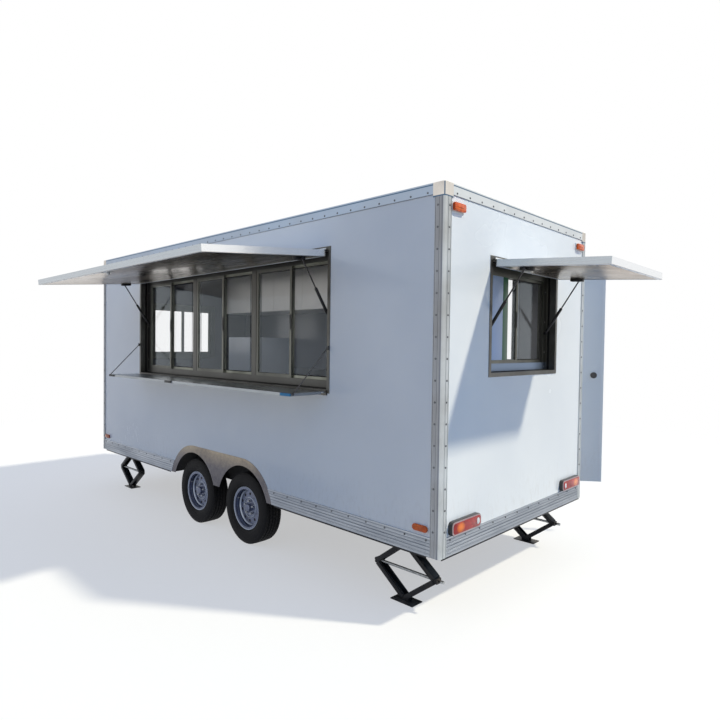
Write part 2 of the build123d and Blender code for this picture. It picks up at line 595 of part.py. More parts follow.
def jockey():
    """Clamp, outer tube and crank on the drawbar; stem and fork that swivel; small wheel."""
    clamp_z = (DRAWBAR_TOP - CLAMP_HEIGHT, DRAWBAR_TOP)
    clamp_x = (JOCKEY_X - CLAMP_DEPTH / 2, JOCKEY_X + CLAMP_DEPTH / 2)
    clamp = block(clamp_x, (-CLAMP_WIDTH / 2, CLAMP_WIDTH / 2), clamp_z)
    tube_z = (DRAWBAR_FOOT - JOCKEY_TUBE_FOOT, DRAWBAR_TOP + JOCKEY_TUBE_TOP)
    tube = rod_z(JOCKEY_TUBE_RADIUS, JOCKEY_X, 0, tube_z)
    bore = rod_z(JOCKEY_STEM_RADIUS + RUNNING_GAP, JOCKEY_X, 0,
                 (tube_z[0] - OVERRUN, tube_z[1] - JOCKEY_TUBE_RADIUS))
    crank_z = tube_z[1] + CRANK_BAR * 2
    spindle = rod_z(CRANK_BAR, JOCKEY_X, 0, (tube_z[1] - OVERRUN, crank_z))
    arm = rod_x(CRANK_BAR, (JOCKEY_X - CRANK_REACH, JOCKEY_X), 0, crank_z)
    grip = rod_z(CRANK_BAR * 2, JOCKEY_X - CRANK_REACH, 0, (crank_z - CRANK_BAR, crank_z + CRANK_GRIP))
    save("jockey_stand", clamp + tube + spindle + arm + grip - bore)

    stem_top = tube_z[1] - JOCKEY_TUBE_RADIUS * 2
    stem = rod_z(JOCKEY_STEM_RADIUS, JOCKEY_X, 0, (JOCKEY_FORK_TOP, stem_top))
    half = JOCKEY_WHEEL_WIDTH / 2 + JOCKEY_SIDE_GAP
    outer = half + JOCKEY_FORK_SHEET
    head_x = (JOCKEY_AXLE_X - JOCKEY_HUB_RADIUS, JOCKEY_X + JOCKEY_STEM_RADIUS)
    head = block(head_x, (-outer, outer), (JOCKEY_FORK_TOP - JOCKEY_FORK_SHEET, JOCKEY_FORK_TOP))
    cheek = block((JOCKEY_AXLE_X - JOCKEY_HUB_RADIUS, JOCKEY_AXLE_X + JOCKEY_HUB_RADIUS), (half, outer),
                  (JOCKEY_AXLE_Z, JOCKEY_FORK_TOP))
    cheek = cheek + rod_y(JOCKEY_HUB_RADIUS, JOCKEY_AXLE_X, (half, outer), JOCKEY_AXLE_Z)
    axle = rod_y(JOCKEY_AXLE_RADIUS, JOCKEY_AXLE_X, (-outer, outer), JOCKEY_AXLE_Z)
    save("jockey_fork", stem + head + cheek + other_side(cheek) + axle)

    half = JOCKEY_WHEEL_WIDTH / 2
    shoulder = half * JOCKEY_SHOULDER_SHARE
    dish = half * JOCKEY_DISH_SHARE
    hub = half + RUNNING_GAP
    rim = JOCKEY_WHEEL_RADIUS * JOCKEY_RIM_SHARE
    bore = JOCKEY_AXLE_RADIUS + RUNNING_GAP
    side = [(hub, bore), (hub, JOCKEY_HUB_RADIUS), (dish, JOCKEY_HUB_RADIUS), (dish, rim), (half, rim),
            (half, JOCKEY_WHEEL_RADIUS - shoulder), (half - shoulder, JOCKEY_WHEEL_RADIUS)]
    outline = side + [(-x, radius) for x, radius in reversed(side)]
    ring = Rot(0, 0, 90) * revolve(make_face(Polyline(*outline, close=True)), Axis.X)
    save("jockey_wheel", Pos(JOCKEY_AXLE_X, 0, JOCKEY_AXLE_Z) * ring)


# Jockey wheel: shoulder and dish as shares of its half width, rim as a share of its radius
JOCKEY_SHOULDER_SHARE = 0.25
JOCKEY_DISH_SHARE = 0.55
JOCKEY_RIM_SHARE = 0.68


# Axles and wheels
def axle(node, wheel_x):
    """Square beam under the main rails, with a trailing arm and a spindle at each end."""
    beam_x = wheel_x + ARM_REACH
    beam_z = CHASSIS_FOOT - BEAM_SIZE / 2
    arm_in = MAIN_RAIL_Y + RAIL_WIDTH / 2 + ARM_GAP
    arm_y = (arm_in, arm_in + ARM_THICKNESS)
    beam = block((beam_x - BEAM_SIZE / 2, beam_x + BEAM_SIZE / 2), (-arm_y[0], arm_y[0]),
                 (CHASSIS_FOOT - BEAM_SIZE, CHASSIS_FOOT))
    length = hypot(ARM_REACH, beam_z - WHEEL_Z)
    angle = degrees(atan2(beam_z - WHEEL_Z, ARM_REACH))
    bar = Box(length + ARM_DEPTH, ARM_THICKNESS, ARM_DEPTH)
    middle = ((beam_x + wheel_x) / 2, (arm_y[0] + arm_y[1]) / 2, (beam_z + WHEEL_Z) / 2)
    arm = Pos(*middle) * Rot(0, -angle, 0) * bar
    spindle = rod_y(SPINDLE_RADIUS, wheel_x, (arm_y[0], DISC_Y), WHEEL_Z)
    drum_back = DISC_Y - DISC_SHEET - DRUM_LENGTH - DRUM_GAP
    back = (drum_back - BACK_PLATE, drum_back)
    plate = rod_y(DRUM_RADIUS, wheel_x, back, WHEEL_Z)
    left = arm + spindle + plate
    save(node, beam + left + other_side(left))


def tyre():
    """Tyre about the Y axis, its middle plane at zero, as a ring whose closed inside is left out."""
    half = TYRE_WIDTH / 2
    bead = RIM_WIDTH / 2 - RIM_SHEET - RUNNING_GAP
    flange = RIM_FLANGE_RADIUS + RUNNING_GAP
    wall = TYRE_RADIUS - flange
    side = [(bead, BEAD_RADIUS), (bead, flange)]
    side += [(half * width, flange + wall * height) for width, height in SIDEWALL_SHARES]
    outline = side + [(-x, radius) for x, radius in reversed(side)]
    return Rot(0, 0, 90) * revolve(make_face(Polyline(*outline, close=True)), Axis.X)


# Sidewall and shoulder: half width as a share of the tyre's, height as a share of the wall over the flange
SIDEWALL_SHARES = ((1.0, 0.46), (0.80, 1.0))


def wheel():
    """Steel rim and disc with vents, drum, nuts and hub cap, about the Y axis, outside towards +Y."""
    half = RIM_WIDTH / 2
    well = RIM_WELL_WIDTH / 2
    seat = BEAD_RADIUS - RUNNING_GAP
    side = [(half, seat - RIM_SHEET), (half, RIM_FLANGE_RADIUS), (half - RIM_SHEET, RIM_FLANGE_RADIUS),
            (half - RIM_SHEET, seat)]
    outline = side + [(-x, radius) for x, radius in reversed(side)]
    rim = revolve(make_face(Polyline(*outline, close=True)), Axis.X)
    face = DISC_OFFSET
    weld = seat - RIM_SHEET / 2
    disc_line = [(face, 0), (face, DISC_SEAT_RADIUS), (well, weld), (well - DISC_SHEET * 2, weld),
                 (face - DISC_SHEET, DISC_SEAT_RADIUS), (face - DISC_SHEET, 0)]
    disc = revolve(make_face(Polyline(*disc_line, close=True)), Axis.X)
    vent = Rot(0, 90, 0) * Cylinder(VENT_RADIUS, RIM_WIDTH)
    vents = [Rot(360 / VENT_COUNT * k, 0, 0) * Pos(face, 0, VENT_CIRCLE) * vent for k in range(VENT_COUNT)]
    disc = disc - vents
    drum_x = (face - DISC_SHEET - DRUM_LENGTH, face - DISC_SHEET)
    drum = rod_x(DRUM_RADIUS, drum_x, 0, 0)
    cap = face + HUB_CAP_LENGTH
    edge = HUB_RADIUS * CAP_EDGE_SHARE
    hub_line = [(face, 0), (face, HUB_RADIUS), (cap - edge, HUB_RADIUS), (cap, HUB_RADIUS - edge), (cap, 0)]
    hub = revolve(make_face(Polyline(*hub_line, close=True)), Axis.X)
    nut = Pos(face - DISC_SHEET, 0, NUT_CIRCLE) * extrude(Plane.YZ * RegularPolygon(NUT_RADIUS, 6),
                                                          DISC_SHEET + NUT_LENGTH)
    nuts = [Rot(360 / NUT_COUNT * k, 0, 0) * nut for k in range(NUT_COUNT)]
    bore = rod_x(SPINDLE_RADIUS + RUNNING_GAP, (drum_x[0] - OVERRUN, face + RUNNING_GAP), 0, 0)
    return Rot(0, 0, 90) * (rim + disc + drum + hub + nuts - bore)


CAP_EDGE_SHARE = 0.25


def running_gear():
    """Both axles and the four wheels."""
    ends = (("rear", WHEEL_X[0]), ("front", WHEEL_X[1]))
    rubber = tyre()
    steel = wheel()
    for end, x in ends:
        axle(f"{end}_axle", x)
        for side, y, turn in (("left", WHEEL_Y, 0), ("right", -WHEEL_Y, 180)):
            place = Pos(x, y, WHEEL_Z) * Rot(0, 0, turn)
            save(f"tyre_{end}_{side}", place * rubber)
            save(f"wheel_{end}_{side}", place * steel)


# Scissor jacks
def jack(x, y):
    """Foot, four pairs of bars, head and screw of one jack, spread along X."""
    foot_z = GROUND + JACK_FOOT_SHEET + JACK_BAR / 2
    head_z = CHASSIS_FOOT - JACK_BAR / 2 - JACK_SHEET
    waist_z = (foot_z + head_z) / 2
    reach = JACK_SPREAD / 2
    corners = [(x, foot_z), (x + reach, waist_z), (x, head_z), (x - reach, waist_z)]
    foot = block((x - JACK_FOOT_LENGTH / 2, x + JACK_FOOT_LENGTH / 2),
                 (y - JACK_FOOT_WIDTH / 2, y + JACK_FOOT_WIDTH / 2), (GROUND, GROUND + JACK_FOOT_SHEET))
    cheeks = [block((x - JACK_BAR, x + JACK_BAR), (y + side - JACK_SHEET / 2, y + side + JACK_SHEET / 2),
                    (GROUND, foot_z + JACK_BAR / 2)) for side in (-JACK_GAUGE / 2, JACK_GAUGE / 2)]
    head = block((x - JACK_HEAD_LENGTH / 2, x + JACK_HEAD_LENGTH / 2),
                 (y - JACK_GAUGE / 2 - JACK_SHEET, y + JACK_GAUGE / 2 + JACK_SHEET),
                 (CHASSIS_FOOT - JACK_HEAD_HEIGHT, CHASSIS_FOOT))
    bars = []
    pins = []
    eye = JACK_BAR * JACK_EYE_SHARE
    for (x0, z0), (x1, z1) in zip(corners, corners[1:] + corners[:1]):
        length = hypot(x1 - x0, z1 - z0)
        angle = degrees(atan2(z1 - z0, x1 - x0))
        for side in (-JACK_GAUGE / 2, JACK_GAUGE / 2):
            bar = Box(length + eye, JACK_SHEET, JACK_BAR)
            bars.append(Pos((x0 + x1) / 2, y + side, (z0 + z1) / 2) * Rot(0, -angle, 0) * bar)
        pin_y = (y - JACK_GAUGE / 2 - JACK_SHEET, y + JACK_GAUGE / 2 + JACK_SHEET)
        pins.append(Pos(x0, pin_y[1], z0) * extrude(Plane.XZ * RegularPolygon(JACK_PIN_RADIUS, 6),
                                                    pin_y[1] - pin_y[0]))
    screw = rod_x(JACK_SCREW_RADIUS, (x - reach - JACK_NUT_LENGTH, x + reach + JACK_NUT_LENGTH), y, waist_z)
    trunnions = [block((end - JACK_NUT_LENGTH / 2, end + JACK_NUT_LENGTH / 2),
                       (y - JACK_GAUGE / 2, y + JACK_GAUGE / 2),
                       (waist_z - JACK_NUT_LENGTH / 2, waist_z + JACK_NUT_LENGTH / 2))
                 for end in (x - reach, x + reach)]
    return foot + cheeks + bars + pins + head + screw + trunnions


def jacks():
    """One jack under each corner."""
    for end, x in zip(("rear", "front"), jack_x()):
        left = jack(x, HALF - JACK_INSET)
        save(f"jack_{end}_left", left)
        save(f"jack_{end}_right", other_side(left))


# Windows. Each is built in its own plane: u along the wall from its middle, v inwards, w up
def window_frame(u, w, bays, setback, depth, member):
    """Frame and mullions with two sliding sashes in each bay; returns the frame and its panes."""
    back = (setback, setback + depth)
    frame = block(u, back, w)
    inner_w = (w[0] + member, w[1] - member)
    bay = (u[1] - u[0] - 2 * member - WINDOW_MULLION * (bays - 1)) / bays
    past = (back[0] - OVERRUN, back[1] + OVERRUN)
    step = (depth - 2 * SASH_DEPTH) / 3
    outer_track = (setback + step, setback + step + SASH_DEPTH)
    inner_track = (outer_track[1] + step, outer_track[1] + step + SASH_DEPTH)
    sashes = []
    panes = []
    for k in range(bays):
        start = u[0] + member + k * (bay + WINDOW_MULLION)
        frame = frame - block((start, start + bay), past, inner_w)
        middle = start + bay / 2
        lap = WINDOW_INTERLOCK / 2
        for span, track in (((start, middle + lap), outer_track), ((middle - lap, start + bay), inner_track)):
            ring, pane = sash(span, track, inner_w)
            sashes.append(ring)
            panes.append(pane)
    return frame + sashes, panes


def sash(u, v, w):
    """One sash: a ring of bars that reaches into the frame's channel, and its pane."""
    reach = SASH_BAR / 2
    clear_u = (u[0] + SASH_BAR, u[1] - SASH_BAR)
    clear_w = (w[0] + SASH_BAR, w[1] - SASH_BAR)
    ring = block(u, v, (w[0] - reach, w[1] + reach))
    ring = ring - block(clear_u, (v[0] - OVERRUN, v[1] + OVERRUN), clear_w)
    middle = (v[0] + v[1]) / 2
    return ring, block(clear_u, (middle - GLASS / 2, middle + GLASS / 2), clear_w)


def lining(u, w, setback, depth):
    """Thin lining of a wall opening round its window frame, with a flange on the outside of the wall."""
    inner_u = (u[0] + LINING, u[1] - LINING)
    inner_w = (w[0] + LINING, w[1] - LINING)
    past = (-OVERRUN, setback + depth + OVERRUN)
    sleeve = block(u, (TRIM, setback + depth), w)
    outer_u = (u[0] - LINING_FLANGE, u[1] + LINING_FLANGE)
    outer_w = (w[0] - LINING_FLANGE, w[1] + LINING_FLANGE)
    flange = block(outer_u, (TRIM - LINING, TRIM), outer_w)
    return sleeve + flange - block(inner_u, past, inner_w)


def on_left(shape):
    """From a window's own plane to the left wall, its middle at u zero."""
    return Pos((SERVING_X[0] + SERVING_X[1]) / 2, HALF, 0) * Rot(0, 0, 180) * shape


def on_rear(shape):
    """To the middle of the rear wall."""
    return Pos(REAR, 0, 0) * Rot(0, 0, -90) * shape


def on_front(shape):
    """To the middle of the front wall."""
    return Pos(FRONT, 0, 0) * Rot(0, 0, 90) * shape


def pivot_blocks(u, foot, setback):
    """Blocks on the window frame's two jambs with the studs that the struts turn on."""
    blocks = []
    for edge, inward in ((u[0], 1), (u[1], -1)):
        axis_u = edge + inward * STRUT_INSET
        stud_end = axis_u - inward * (STRUT_EYE_WIDTH / 2 + PIVOT_GAP)
        root = stud_end - inward * STRUT_STUD
        far = root - inward * BRACKET_SHEET * 2
        pair = sorted((root, far))
        side = STRUT_EYE_RADIUS
        body = block(pair, (setback - STRUT_STAND_OFF - side, setback), (foot - side, foot + side))
        stud = rod_x(PIVOT_STUD_RADIUS, sorted((root, stud_end)), setback - STRUT_STAND_OFF, foot)
        blocks.append(body + stud)
    return blocks


def windows():
    """The serving window, the rear window and the front window: frames, glass, linings, strut mounts."""
    panes = []
    linings = []
    mounts = []
    frame, glass = window_frame(inset_pair(SERVING_U), inset_pair(SERVING_Z), SERVING_BAYS,
                                WINDOW_SETBACK, WINDOW_DEPTH, WINDOW_MEMBER)
    save("serving_frame", on_left(frame))
    panes += [on_left(pane) for pane in glass]
    sill = block(SERVING_U, (-SILL_PROFILE_DEPTH, TRIM), (SERVING_Z[0] - SILL_PROFILE_HEIGHT, SERVING_Z[0]))
    reveal = lining(SERVING_U, SERVING_Z, WINDOW_SETBACK, WINDOW_DEPTH) + sill + shelf_brackets()
    linings.append(on_left(reveal))
    foot = SERVING_Z[1] - SIDE_STRUT_FOOT
    mounts += [on_left(piece) for piece in pivot_blocks(SERVING_U, foot, WINDOW_SETBACK)]

    for node, w, place, strutted in (("rear_window_frame", REAR_WINDOW_Z, on_rear, True),
                                     ("front_window_frame", FRONT_WINDOW_Z, on_front, False)):
        setback = END_WINDOW_SETBACK if strutted else TRIM
        frame, glass = window_frame(inset_pair(END_WINDOW_Y), inset_pair(w), 1, setback,
                                    END_WINDOW_DEPTH, END_WINDOW_MEMBER)
        save(node, place(frame))
        panes += [place(pane) for pane in glass]
        linings.append(place(lining(END_WINDOW_Y, w, setback, END_WINDOW_DEPTH)))
        if strutted:
            mounts += [place(piece) for piece in pivot_blocks(END_WINDOW_Y, w[1] - REAR_STRUT_FOOT, setback)]
    save("window_glass", *panes)
    save("window_linings", *linings)
    save("strut_mounts", *mounts)


def inset_pair(pair):
    """A pair of limits drawn in by the lining."""
    return (pair[0] + LINING, pair[1] - LINING)


# Flaps, in the same window planes: built closed, then opened about their hinge line
def flap(u, w):
    """Tray-shaped flap: skin outside, deep edge members, hinge leaf and barrel along its top."""
    room = LINING + FLAP_GAP
    span = (u[0] + room, u[1] - room)
    height = (w[0] + room, w[1] - room)
    body = block(span, (0, FLAP_DEPTH), height)
    hollow = block((span[0] + FLAP_MEMBER, span[1] - FLAP_MEMBER), (FLAP_SKIN, FLAP_DEPTH + OVERRUN),
                   (height[0] + FLAP_MEMBER, height[1] - FLAP_MEMBER))
    axis_w = w[1] + FLAP_HINGE_UP
    barrel = rod_x(FLAP_BARREL_RADIUS, span, -FLAP_HINGE_OUT, axis_w)
    leaf = block(span, (-FLAP_LEAF, 0), (height[1] - FLAP_MEMBER, axis_w))
    link = block(span, (-FLAP_HINGE_OUT, 0), (axis_w - FLAP_LEAF, axis_w))
    return body - hollow + leaf + link + barrel


def flap_brackets(u, w):
    """Two brackets under the flap that carry the upper ends of the struts."""
    pieces = []
    for edge, inward in ((u[0], 1), (u[1], -1)):
        axis_u = edge + inward * STRUT_INSET
        near = axis_u + inward * (STRUT_EYE_WIDTH / 2 + PIVOT_GAP)
        cheek = sorted((near + inward * STRUT_STUD, near + inward * (STRUT_STUD + BRACKET_SHEET)))
        base = sorted((near + inward * STRUT_STUD, near + inward * (STRUT_STUD + BRACKET_WIDTH)))
        eye_w = w[1] + FLAP_HINGE_UP - STRUT_EYE_DROP
        eye_v = strut_eye_depth()
        along = (eye_w - BRACKET_LENGTH / 2, eye_w + BRACKET_LENGTH / 2)
        plate = block(base, (FLAP_SKIN, FLAP_SKIN + BRACKET_SHEET), along)
        ear = block(cheek, (FLAP_SKIN, eye_v), (eye_w - BRACKET_WIDTH / 2, eye_w + BRACKET_WIDTH / 2))
        ear = ear + rod_x(STRUT_EYE_RADIUS, cheek, eye_v, eye_w)
        stud = rod_x(PIVOT_STUD_RADIUS, sorted((near, near + inward * STRUT_STUD)), eye_v, eye_w)
        pieces.append(plate + ear + stud)
    return pieces


def strut_eye_depth():
    """How far inside the body's side the strut's upper eye lies when its flap is closed."""
    return WINDOW_SETBACK - STRUT_STAND_OFF - STRUT_SIDE_GAP


def opened(shape, w, angle):
    """The closed flap swung outwards and up about its hinge line."""
    hinge = Axis((0, -FLAP_HINGE_OUT, w[1] + FLAP_HINGE_UP), (1, 0, 0))
    return turned(shape, hinge, -angle)


def strut_ends(w, foot, angle):
    """Lower pivot and upper eye of a strut in the plane (v, w), with the flap open."""
    low = (WINDOW_SETBACK - STRUT_STAND_OFF, foot)
    v = strut_eye_depth() + FLAP_HINGE_OUT
    turn = radians(-angle)
    eye = (v * cos(turn) + STRUT_EYE_DROP * sin(turn) - FLAP_HINGE_OUT,
           v * sin(turn) - STRUT_EYE_DROP * cos(turn) + w[1] + FLAP_HINGE_UP)
    return low, eye


def struts(u, w, foot, angle):
    """Tubes and rods of a flap's two struts."""
    low, eye = strut_ends(w, foot, angle)
    reach = hypot(eye[0] - low[0], eye[1] - low[1])
    lean = degrees(atan2(eye[0] - low[0], eye[1] - low[1]))
    tubes = []
    rods = []
    for middle in (u[0] + STRUT_INSET, u[1] - STRUT_INSET):
        eye_x = (middle - STRUT_EYE_WIDTH / 2, middle + STRUT_EYE_WIDTH / 2)
        top = STRUT_TUBE_FOOT + STRUT_TUBE_LENGTH
        bore = STRUT_ROD_RADIUS + STRUT_ROD_GAP
        section = [(0, 0), (STRUT_ROD_RADIUS, 0), (STRUT_ROD_RADIUS, STRUT_TUBE_FOOT),
                   (STRUT_TUBE_RADIUS, STRUT_TUBE_FOOT), (STRUT_TUBE_RADIUS, top), (bore, top),
                   (bore, STRUT_TUBE_FOOT + STRUT_TUBE_END), (0, STRUT_TUBE_FOOT + STRUT_TUBE_END)]
        turned_tube = revolve(Plane.XZ * make_face(Polyline(*section, close=True)), Axis.Z)
        tube = Pos(middle, 0, 0) * turned_tube + rod_x(STRUT_EYE_RADIUS, eye_x, 0, 0)
        rod = rod_z(STRUT_ROD_RADIUS, middle, 0, (reach - STRUT_ROD_LENGTH, reach))
        rod = rod + rod_x(STRUT_EYE_RADIUS, eye_x, 0, reach)
        place = Pos(0, low[0], low[1]) * Rot(-lean, 0, 0)
        tubes.append(place * tube)
        rods.append(place * rod)
    return tubes, rods


def flaps():
    """Side flap and rear flap with their brackets and struts."""
    table = (("side", SERVING_U, SERVING_Z, SIDE_FLAP_ANGLE, SIDE_STRUT_FOOT, on_left),
             ("rear", END_WINDOW_Y, REAR_WINDOW_Z, REAR_FLAP_ANGLE, REAR_STRUT_FOOT, on_rear))
    for name, u, w, angle, drop, place in table:
        save(f"{name}_flap", place(opened(flap(u, w), w, angle)))
        save(f"{name}_flap_brackets", *[place(opened(piece, w, angle)) for piece in flap_brackets(u, w)])
        tubes, rods = struts(u, w, w[1] - drop, angle)
        save(f"{name}_strut_tubes", *[place(tube) for tube in tubes])
        save(f"{name}_strut_rods", *[place(rod) for rod in rods])


# Shelf below the serving windows, held by a stay at each end
SHELF_X = (SERVING_X[0] + SHELF_OVERHANG, SERVING_X[1] - SHELF_OVERHANG)
SHELF_AXIS = (HALF + SHELF_HINGE_OUT, SERVING_Z[0] - SHELF_HINGE_DROP)
SHELF_EDGE = SHELF_AXIS[0] + SHELF_DEPTH
SHELF_TOP = SHELF_AXIS[1] + SHELF_HINGE_RADIUS
STAY_X = (SERVING_X[0] - STAY_OUTSIDE, SERVING_X[1] + STAY_OUTSIDE)
STAY_TOP = (HALF + STAY_EYE_RADIUS, SHELF_AXIS[1] + STAY_RISE)


def shelf_brackets():
    """Hinge ledge under the sill and the wall brackets of the two stays, in the window's plane."""
    span = (SERVING_U[0] + SHELF_OVERHANG, SERVING_U[1] - SHELF_OVERHANG)
    ledge = block(span, (-SHELF_HINGE_OUT + SHELF_HINGE_RADIUS + RUNNING_GAP, -SILL_PROFILE_DEPTH),
                  (SHELF_AXIS[1] - SHELF_SHEET, SHELF_AXIS[1] + SHELF_SHEET))
    pieces = [ledge]
    for x, outward in ((SERVING_U[0] - STAY_OUTSIDE, -1), (SERVING_U[1] + STAY_OUTSIDE, 1)):
        near = x + outward * (STAY_EYE_WIDTH / 2 + RUNNING_GAP)
        pair = sorted((near, near + outward * STAY_RADIUS))
        pieces.append(block(pair, (-STAY_EYE_RADIUS * 2, TRIM),
                            (STAY_TOP[1] - STAY_BRACKET / 2, STAY_TOP[1] + STAY_BRACKET / 2)))
    return pieces


def shelf():
    """Folded sheet shelf with lips and ribs, its barrel, end pads, and the two stays."""
    y = (SHELF_AXIS[0], SHELF_EDGE)
    z = (SHELF_TOP - SHELF_LIP, SHELF_TOP)
    tray = block(SHELF_X, y, z)
    room = block((SHELF_X[0] + SHELF_SHEET, SHELF_X[1] - SHELF_SHEET),
                 (y[0] - OVERRUN, y[1] - SHELF_SHEET), (z[0] - OVERRUN, z[1] - SHELF_SHEET))
    tray = tray - room
    step = (SHELF_X[1] - SHELF_X[0]) / (SHELF_RIBS + 1)
    for k in range(1, SHELF_RIBS + 1):
        x = SHELF_X[0] + step * k
        tray = tray + block((x - SHELF_SHEET / 2, x + SHELF_SHEET / 2), y, z)
    notch_y = (y[0] - OVERRUN, y[0] + SHELF_NOTCH)
    notch_x = (SHELF_X[0] - OVERRUN, SHELF_X[1] + OVERRUN)
    tray = tray - block(notch_x, notch_y, (z[0] - OVERRUN, z[1] - SHELF_SHEET))
    tray = tray + rod_x(SHELF_HINGE_RADIUS, SHELF_X, SHELF_AXIS[0], SHELF_AXIS[1])
    pad_z = (z[0], z[1])
    pads = []
    for share in SHELF_PAD_SHARES:
        x = SHELF_X[0] + (SHELF_X[1] - SHELF_X[0] - SHELF_PAD_LENGTH) * share
        pads.append(block((x, x + SHELF_PAD_LENGTH), (y[1], y[1] + SHELF_PAD_DEPTH), pad_z))
    reach = STAY_OUTSIDE + SHELF_OVERHANG - STAY_EYE_WIDTH / 2 - PIVOT_GAP
    for pair in ((SHELF_X[0] - reach, SHELF_X[0] + SHELF_SHEET),
                 (SHELF_X[1] - SHELF_SHEET, SHELF_X[1] + reach)):
        tray = tray + rod_x(STAY_RADIUS, pair, SHELF_EDGE - STAY_EYE_RADIUS, SHELF_AXIS[1])
    save("counter_shelf", tray)
    save("shelf_pads", *pads)

    foot = (SHELF_EDGE - STAY_EYE_RADIUS, SHELF_AXIS[1])
    length = hypot(foot[0] - STAY_TOP[0], foot[1] - STAY_TOP[1])
    lean = degrees(atan2(foot[0] - STAY_TOP[0], STAY_TOP[1] - foot[1]))
    stays = []
    for x in STAY_X:
        bar = rod_z(STAY_RADIUS, x, 0, (-length, 0))
        eye_x = (x - STAY_EYE_WIDTH / 2, x + STAY_EYE_WIDTH / 2)
        eyes = [rod_x(STAY_EYE_RADIUS, eye_x, 0, end) for end in (-length, 0)]
        stays.append(Pos(0, *STAY_TOP) * Rot(lean, 0, 0) * (bar + eyes))
    save("shelf_stays", *stays)


SHELF_PAD_SHARES = (0.0, 0.58, 1.0)


# Door in the right wall
def door():
    """Lining with a stop, leaf with its edge frame and barrels, lock and inner lever."""
    u = DOOR_X
    w = DOOR_Z
    inner = DOOR_STOP_Y
    sleeve_y = (-PANEL_FACE, inner[1])
    ring = block(u, sleeve_y, w) - block((u[0] + DOOR_LINING, u[1] - DOOR_LINING),
                                         (-HALF - OVERRUN, HALF), (w[0] + DOOR_LINING, w[1] - DOOR_LINING))
    flange = block((u[0] - LINING_FLANGE, u[1] + LINING_FLANGE), (-PANEL_FACE - LINING, -PANEL_FACE),
                   (BASE + BOTTOM_RAIL, w[1] + LINING_FLANGE))
    flange = flange - block((u[0] + DOOR_LINING, u[1] - DOOR_LINING), (-HALF - OVERRUN, HALF),
                            (w[0], w[1] - DOOR_LINING))
    stop = block(u, inner, w) - block((u[0] + DOOR_STOP, u[1] - DOOR_STOP), (-HALF, HALF),
                                      (FLOOR_TOP, w[1] - DOOR_STOP))
    save("door_frame", ring + flange + stop + door_knuckles())

    room = DOOR_LINING + DOOR_GAP
    leaf_x = (u[0] + room, u[1] - room)
    leaf_z = (w[0] + room, w[1] - room)
    leaf = block(leaf_x, (-HALF, -HALF + DOOR_THICKNESS), leaf_z)
    inset = (leaf_x[0] + DOOR_EDGE, leaf_x[1] - DOOR_EDGE)
    field_z = (leaf_z[0] + DOOR_EDGE, leaf_z[1] - DOOR_EDGE)
    for y in ((-HALF - OVERRUN, -HALF + GROOVE_DEPTH), (-HALF + DOOR_THICKNESS - GROOVE_DEPTH, HALF)):
        leaf = leaf - block(inset, y, field_z)
    axis_x = u[0]
    axis_y = -HALF - DOOR_HINGE_OUT
    for z in door_hinge_heights():
        barrel = rod_z(DOOR_BARREL_RADIUS, axis_x, axis_y, z)
        strap = block((axis_x, leaf_x[0] + DOOR_EDGE), (-HALF - LINING, -HALF), z)
        leaf = leaf + barrel + strap
    lock_x = leaf_x[1] - DOOR_LOCK_FROM_EDGE
    lock_z = BASE + DOOR_LOCK_HEIGHT
    face = -HALF + GROOVE_DEPTH
    escutcheon = rod_y(DOOR_LOCK_RADIUS, lock_x, (face - DOOR_LOCK_DEPTH, face), lock_z)
    inner_face = -HALF + DOOR_THICKNESS - GROOVE_DEPTH
    rose = rod_y(DOOR_LOCK_RADIUS * DOOR_ROSE_SHARE, lock_x, (inner_face, inner_face + DOOR_LOCK_DEPTH), lock_z)
    lever_y = (inner_face + DOOR_LOCK_DEPTH, inner_face + DOOR_LOCK_DEPTH * 2)
    lever = block((lock_x - DOOR_LEVER_LENGTH, lock_x + DOOR_LOCK_DEPTH), lever_y,
                  (lock_z - DOOR_LOCK_DEPTH, lock_z + DOOR_LOCK_DEPTH))
    hinge = Axis((axis_x, axis_y, 0), (0, 0, 1))
    save("door_leaf", turned(leaf, hinge, -DOOR_ANGLE))
    save("door_lock", turned(escutcheon, hinge, -DOOR_ANGLE), turned(rose + lever, hinge, -DOOR_ANGLE))


def door_hinge_heights():
    """Height limits of the moving barrels."""
    room = DOOR_LINING + DOOR_GAP
    low = DOOR_Z[0] + room
    high = DOOR_Z[1] - room
    middles = [low + (high - low) * share for share in DOOR_HINGE_SHARES]
    return [(middle - DOOR_BARREL_LENGTH / 2, middle + DOOR_BARREL_LENGTH / 2) for middle in middles]


def door_knuckles():
    """Fixed knuckles above and below each moving barrel, with the leaf that seats on the frame."""
    x = DOOR_X[0]
    y = -HALF - DOOR_HINGE_OUT
    seat = -PANEL_FACE - LINING
    pieces = []
    for low, high in door_hinge_heights():
        for z in ((low - RUNNING_GAP - DOOR_KNUCKLE, low - RUNNING_GAP),
                  (high + RUNNING_GAP, high + RUNNING_GAP + DOOR_KNUCKLE)):
            pieces.append(rod_z(DOOR_BARREL_RADIUS, x, y, z))
            pieces.append(block((x - LINING_FLANGE, x), (y, seat), z))
        pieces.append(block((x - LINING_FLANGE, x - DOOR_BARREL_RADIUS - LINING), (seat - LINING, seat),
                            (low - DOOR_KNUCKLE, high + DOOR_KNUCKLE)))
    return pieces


DOOR_HINGE_SHARES = (0.08, 0.5, 0.92)
DOOR_ROSE_SHARE = 0.8


